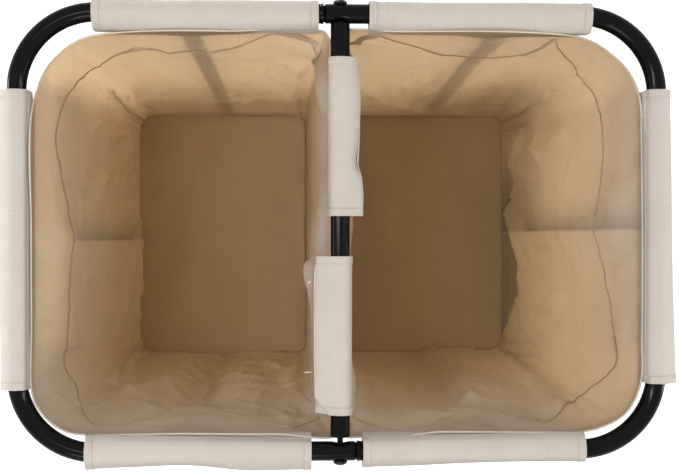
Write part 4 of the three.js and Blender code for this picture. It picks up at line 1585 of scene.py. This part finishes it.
def sleeve(name, row):
    shares = hem_steps(length_of(row))
    last = len(shares) - 1

    def place(u, v):
        return strip(row, shares[np.rint(u * last).astype(int)], v)

    start, end = np.array(row["from"]), np.array(row["to"])
    middle = (*((start + end) / 2 * MILLIMETRE), RING_Z)
    band = wrapped(name, last, SECTION_ROWS, place, (length_of(row) * MILLIMETRE, WEAVE_SPAN), middle)
    band = thickened(band, SLEEVE_CLOTH, 0)
    if row["leg"] is not None:
        put_down()
        seat = (row["leg"] * MILLIMETRE, row["from"][1] * MILLIMETRE, RING_Z - 0.018)
        bpy.ops.mesh.primitive_cylinder_add(vertices=40, radius=SLOT_R, depth=0.03, location=seat)
        cut_out(band, settle(named("punch")))
        smooth(band, 50)
    return band


# %% Stitches
STITCH_PITCH = 0.0031
STITCH_SIZE = (0.00112, 0.00034, 0.00026)
STITCH_LIFT = 0.00012
HALF_STITCH = 0.0006
NEAR_SHARE = 0.004


def one_stitch():
    put_down()
    bpy.ops.mesh.primitive_ico_sphere_add(subdivisions=1, radius=1)
    stitch = named("stitch")
    stitch.scale = STITCH_SIZE
    return settle(stitch)


def stitched(name, lines):
    """Copies one stitch along lines of (points, lifts) and keeps them as one piece."""
    pattern = one_stitch()
    shape = coordinates(pattern)
    faces = np.array([face.vertices[:] for face in pattern.data.polygons])
    points, polygons = [], []
    for path, lifts in lines:
        steps = reached(path)
        stops = np.arange(STITCH_PITCH / 2, steps[-1], STITCH_PITCH)
        seats = picked(path, steps, stops)
        back, ahead = (picked(path, steps, stops + step) for step in (-HALF_STITCH, HALF_STITCH))
        run = unit(ahead - back)
        side = unit(np.cross(unit(picked(lifts, steps, stops)), run))
        lift = np.cross(run, side)
        for seat, x, y, z in zip(seats, run, side, lift):
            polygons.extend((faces + len(points) * len(shape)).tolist())
            points.append(seat + z * STITCH_LIFT + shape @ np.array([x, y, z]))
    mesh = bpy.data.meshes.new(name)
    mesh.from_pydata(np.concatenate(points).tolist(), [], polygons)
    piece = bpy.data.objects.new(name, mesh)
    bpy.context.scene.collection.objects.link(piece)
    bpy.data.objects.remove(pattern)
    mesh.uv_layers.new(name="cut")
    return smooth(face_out(piece), 60)


def lifted(row, u, v):
    """Places on a sleeve and the direction away from its tube, for laying stitches."""
    path = strip(row, u, v)
    near_u, near_v = (np.clip(share + NEAR_SHARE, 0, 1) for share in (u, v))
    lift = np.cross(strip(row, near_u, v) - path, strip(row, u, near_v) - path)
    start, end = np.array(row["from"], float), np.array(row["to"], float)
    middle = (start + (end - start) * u[:, None]) * MILLIMETRE
    axis = np.column_stack([middle, np.full(len(u), RING_Z)])
    lift = unit(lift) * np.sign(((path - axis) * lift).sum(1, keepdims=True))
    return path + lift * SLEEVE_CLOTH / 2, lift


def sleeve_stitches(name, row):
    """One line along the tube's inner side, and one across each hem."""
    across = np.linspace(0.26, 0.72, 60)
    along = np.linspace(0.012, 0.988, 160)
    hem = (HEM - 1.2) / length_of(row)
    lines = [lifted(row, along, np.full(len(along), 0.262))]
    lines += [lifted(row, np.full(len(across), end), across) for end in (hem, 1 - hem)]
    return stitched(name, lines)


# Each loose end is a place x, y, z and a length in millimetres, and a turn in radians.
THREAD_ENDS = {
    "divider_front": [(-27.5, -136.5, 664, 7.0, 0.05), (-28.0, -47.0, 664, 4.0, 0.6)],
    "divider_back": [(17.5, 130.5, 664, 4.0, -0.2)],
    "end_right": [(316.0, -129.0, 675, 5.0, 1.9)],
    "back_left": [(-31.0, 217.0, 677.5, 5.0, 0.6)],
}


def thread_end(name, x, y, z, length, turn):
    """A loose end of sewing thread, bent back on itself. Before its turn it points left."""
    t = np.linspace(0, 2 * np.pi, 24, endpoint=False)
    run = (np.cos(t) - 1) * length / 2
    off = np.sin(t) * 0.45 * np.sin(t / 2)
    path = np.column_stack([
        x + run * math.cos(turn) - off * math.sin(turn),
        y + run * math.sin(turn) + off * math.cos(turn),
        z + 0.12 * run,
    ])
    return bead(name, path * MILLIMETRE, 0.00035, 5)


for name, row in SLEEVES.items():
    ends = [
        thread_end(f"sleeve_{name}_thread_{index}", *end)
        for index, end in enumerate(THREAD_ENDS.get(name, []))
    ]
    band = sleeve(f"sleeve_{name}_cloth", row)
    seams = sleeve_stitches(f"sleeve_{name}_stitches", row)
    wear(band, sleeve_finish, "sleeve_cloth", f"sleeve_{name}")
    for thread in (seams, *ends):
        wear(thread, thread_finish, "sleeve_cloth")
    length_of(row) * MILLIMETRE
    print(name, len(band.data.polygons), "faces and", len(seams.data.polygons) // 20, "stitches")

# %% [markdown]
# ## Floor, light and background
# The photograph has a white ground, a soft light from above and light from behind that shows the
# legs through the cloth. The floor is pale and keeps the hamper's shadow.

# %% Colours as written
bpy.context.scene.view_settings.view_transform = "Standard"

# %% Floor
def seen_straight(finish):
    """One where a ray comes from the camera, or by way of metal, gloss or glass."""
    camera_ray, gloss, glass = (
        finish.node("ShaderNodeLightPath", output=f"Is {kind} Ray")
        for kind in ("Camera", "Glossy", "Transmission")
    )
    return (camera_ray + gloss + glass).clamp()


def floor_finish():
    finish = Finish("studio_floor")
    finish.set(
        base_color=shade(190, 190, 190),
        roughness=0.9,
        specular_ior_level=0.0,
        emission_color=finish.mix(seen_straight(finish), (0, 0, 0, 1), (0.85, 0.85, 0.85, 1)),
        emission_strength=1.0,
    )
    return finish.material


put_down()
bpy.ops.mesh.primitive_plane_add(size=16)
floor = named("studio_floor")
floor.data.materials.append(floor_finish())

# %% World and lamps
def set_world(stops):
    """Light that grows from the horizon up. It looks white to the camera, in gloss and in glass."""
    world = bpy.data.worlds.new("studio")
    bpy.context.scene.world = world
    world.use_nodes = True
    tree = world.node_tree
    background = tree.nodes["Background"]

    def made(kind, **settings):
        node = tree.nodes.new(kind)
        for setting, value in settings.items():
            setattr(node, setting, value)
        return node

    path = made("ShaderNodeLightPath")
    seen = path.outputs["Is Camera Ray"]
    for ray in ("Is Glossy Ray", "Is Transmission Ray"):
        either = made("ShaderNodeMath", operation="MAXIMUM")
        tree.links.new(seen, either.inputs[0])
        tree.links.new(path.outputs[ray], either.inputs[1])
        seen = either.outputs[0]
    height = made("ShaderNodeSeparateXYZ")
    tree.links.new(made("ShaderNodeTexCoord").outputs["Generated"], height.inputs[0])
    climb = made("ShaderNodeMapRange")
    climb.inputs["From Min"].default_value = -1
    tree.links.new(height.outputs["Z"], climb.inputs["Value"])
    sky = made("ShaderNodeValToRGB")
    set_stops(sky.color_ramp, stops)
    tree.links.new(climb.outputs[0], sky.inputs[0])
    level = made("ShaderNodeMix", data_type="RGBA")
    tree.links.new(seen, level.inputs[0])
    tree.links.new(sky.outputs[0], level.inputs[6])
    level.inputs[7].default_value = (1, 1, 1, 1)
    tree.links.new(level.outputs[2], background.inputs["Color"])
    background.inputs["Strength"].default_value = 1.0


def lamp(name, place, target, size, power):
    """A rectangular lamp that is turned to its target and isn't seen itself."""
    way = Vector(target) - Vector(place)
    put_down()
    bpy.ops.object.light_add(
        type="AREA", location=place, rotation=way.to_track_quat("-Z", "Y").to_euler()
    )
    light = bpy.context.object
    light.name = name
    light.data.shape = "RECTANGLE"
    light.data.size, light.data.size_y = size
    light.data.energy = power
    light.visible_camera = False
    return light


set_world([(0.0, 0.04), (0.49, 0.05), (0.62, 0.08), (0.74, 0.2), (0.86, 0.55), (1.0, 0.7)])
lamp("strip_left", (-0.95, 0.1, 2.35), (0, 0, 0.6), (0.05, 1.2), 14)
lamp("strip_right", (1.9, 0.25, 1.9), (0, 0, 0.6), (0.07, 1.7), 14)
lamp("front_high", (-0.45, -1.6, 1.95), (0, 0, 0.6), (0.9, 0.7), 12.5)
lamp("behind", (-0.25, 1.1, 0.5), (0, 0.2, 0.4), (0.02, 0.02), 5.8)
lamp("from_right", (1.15, -0.2, 0.6), (0.3, -0.05, 0.45), (0.4, 0.4), 4)
lamp("from_left", (-1.25, 0.1, 0.55), (-0.3, 0, 0.45), (0.5, 0.4), 9)
print("lamps and floor in place")

# %% Update the scene
bpy.context.view_layer.update()
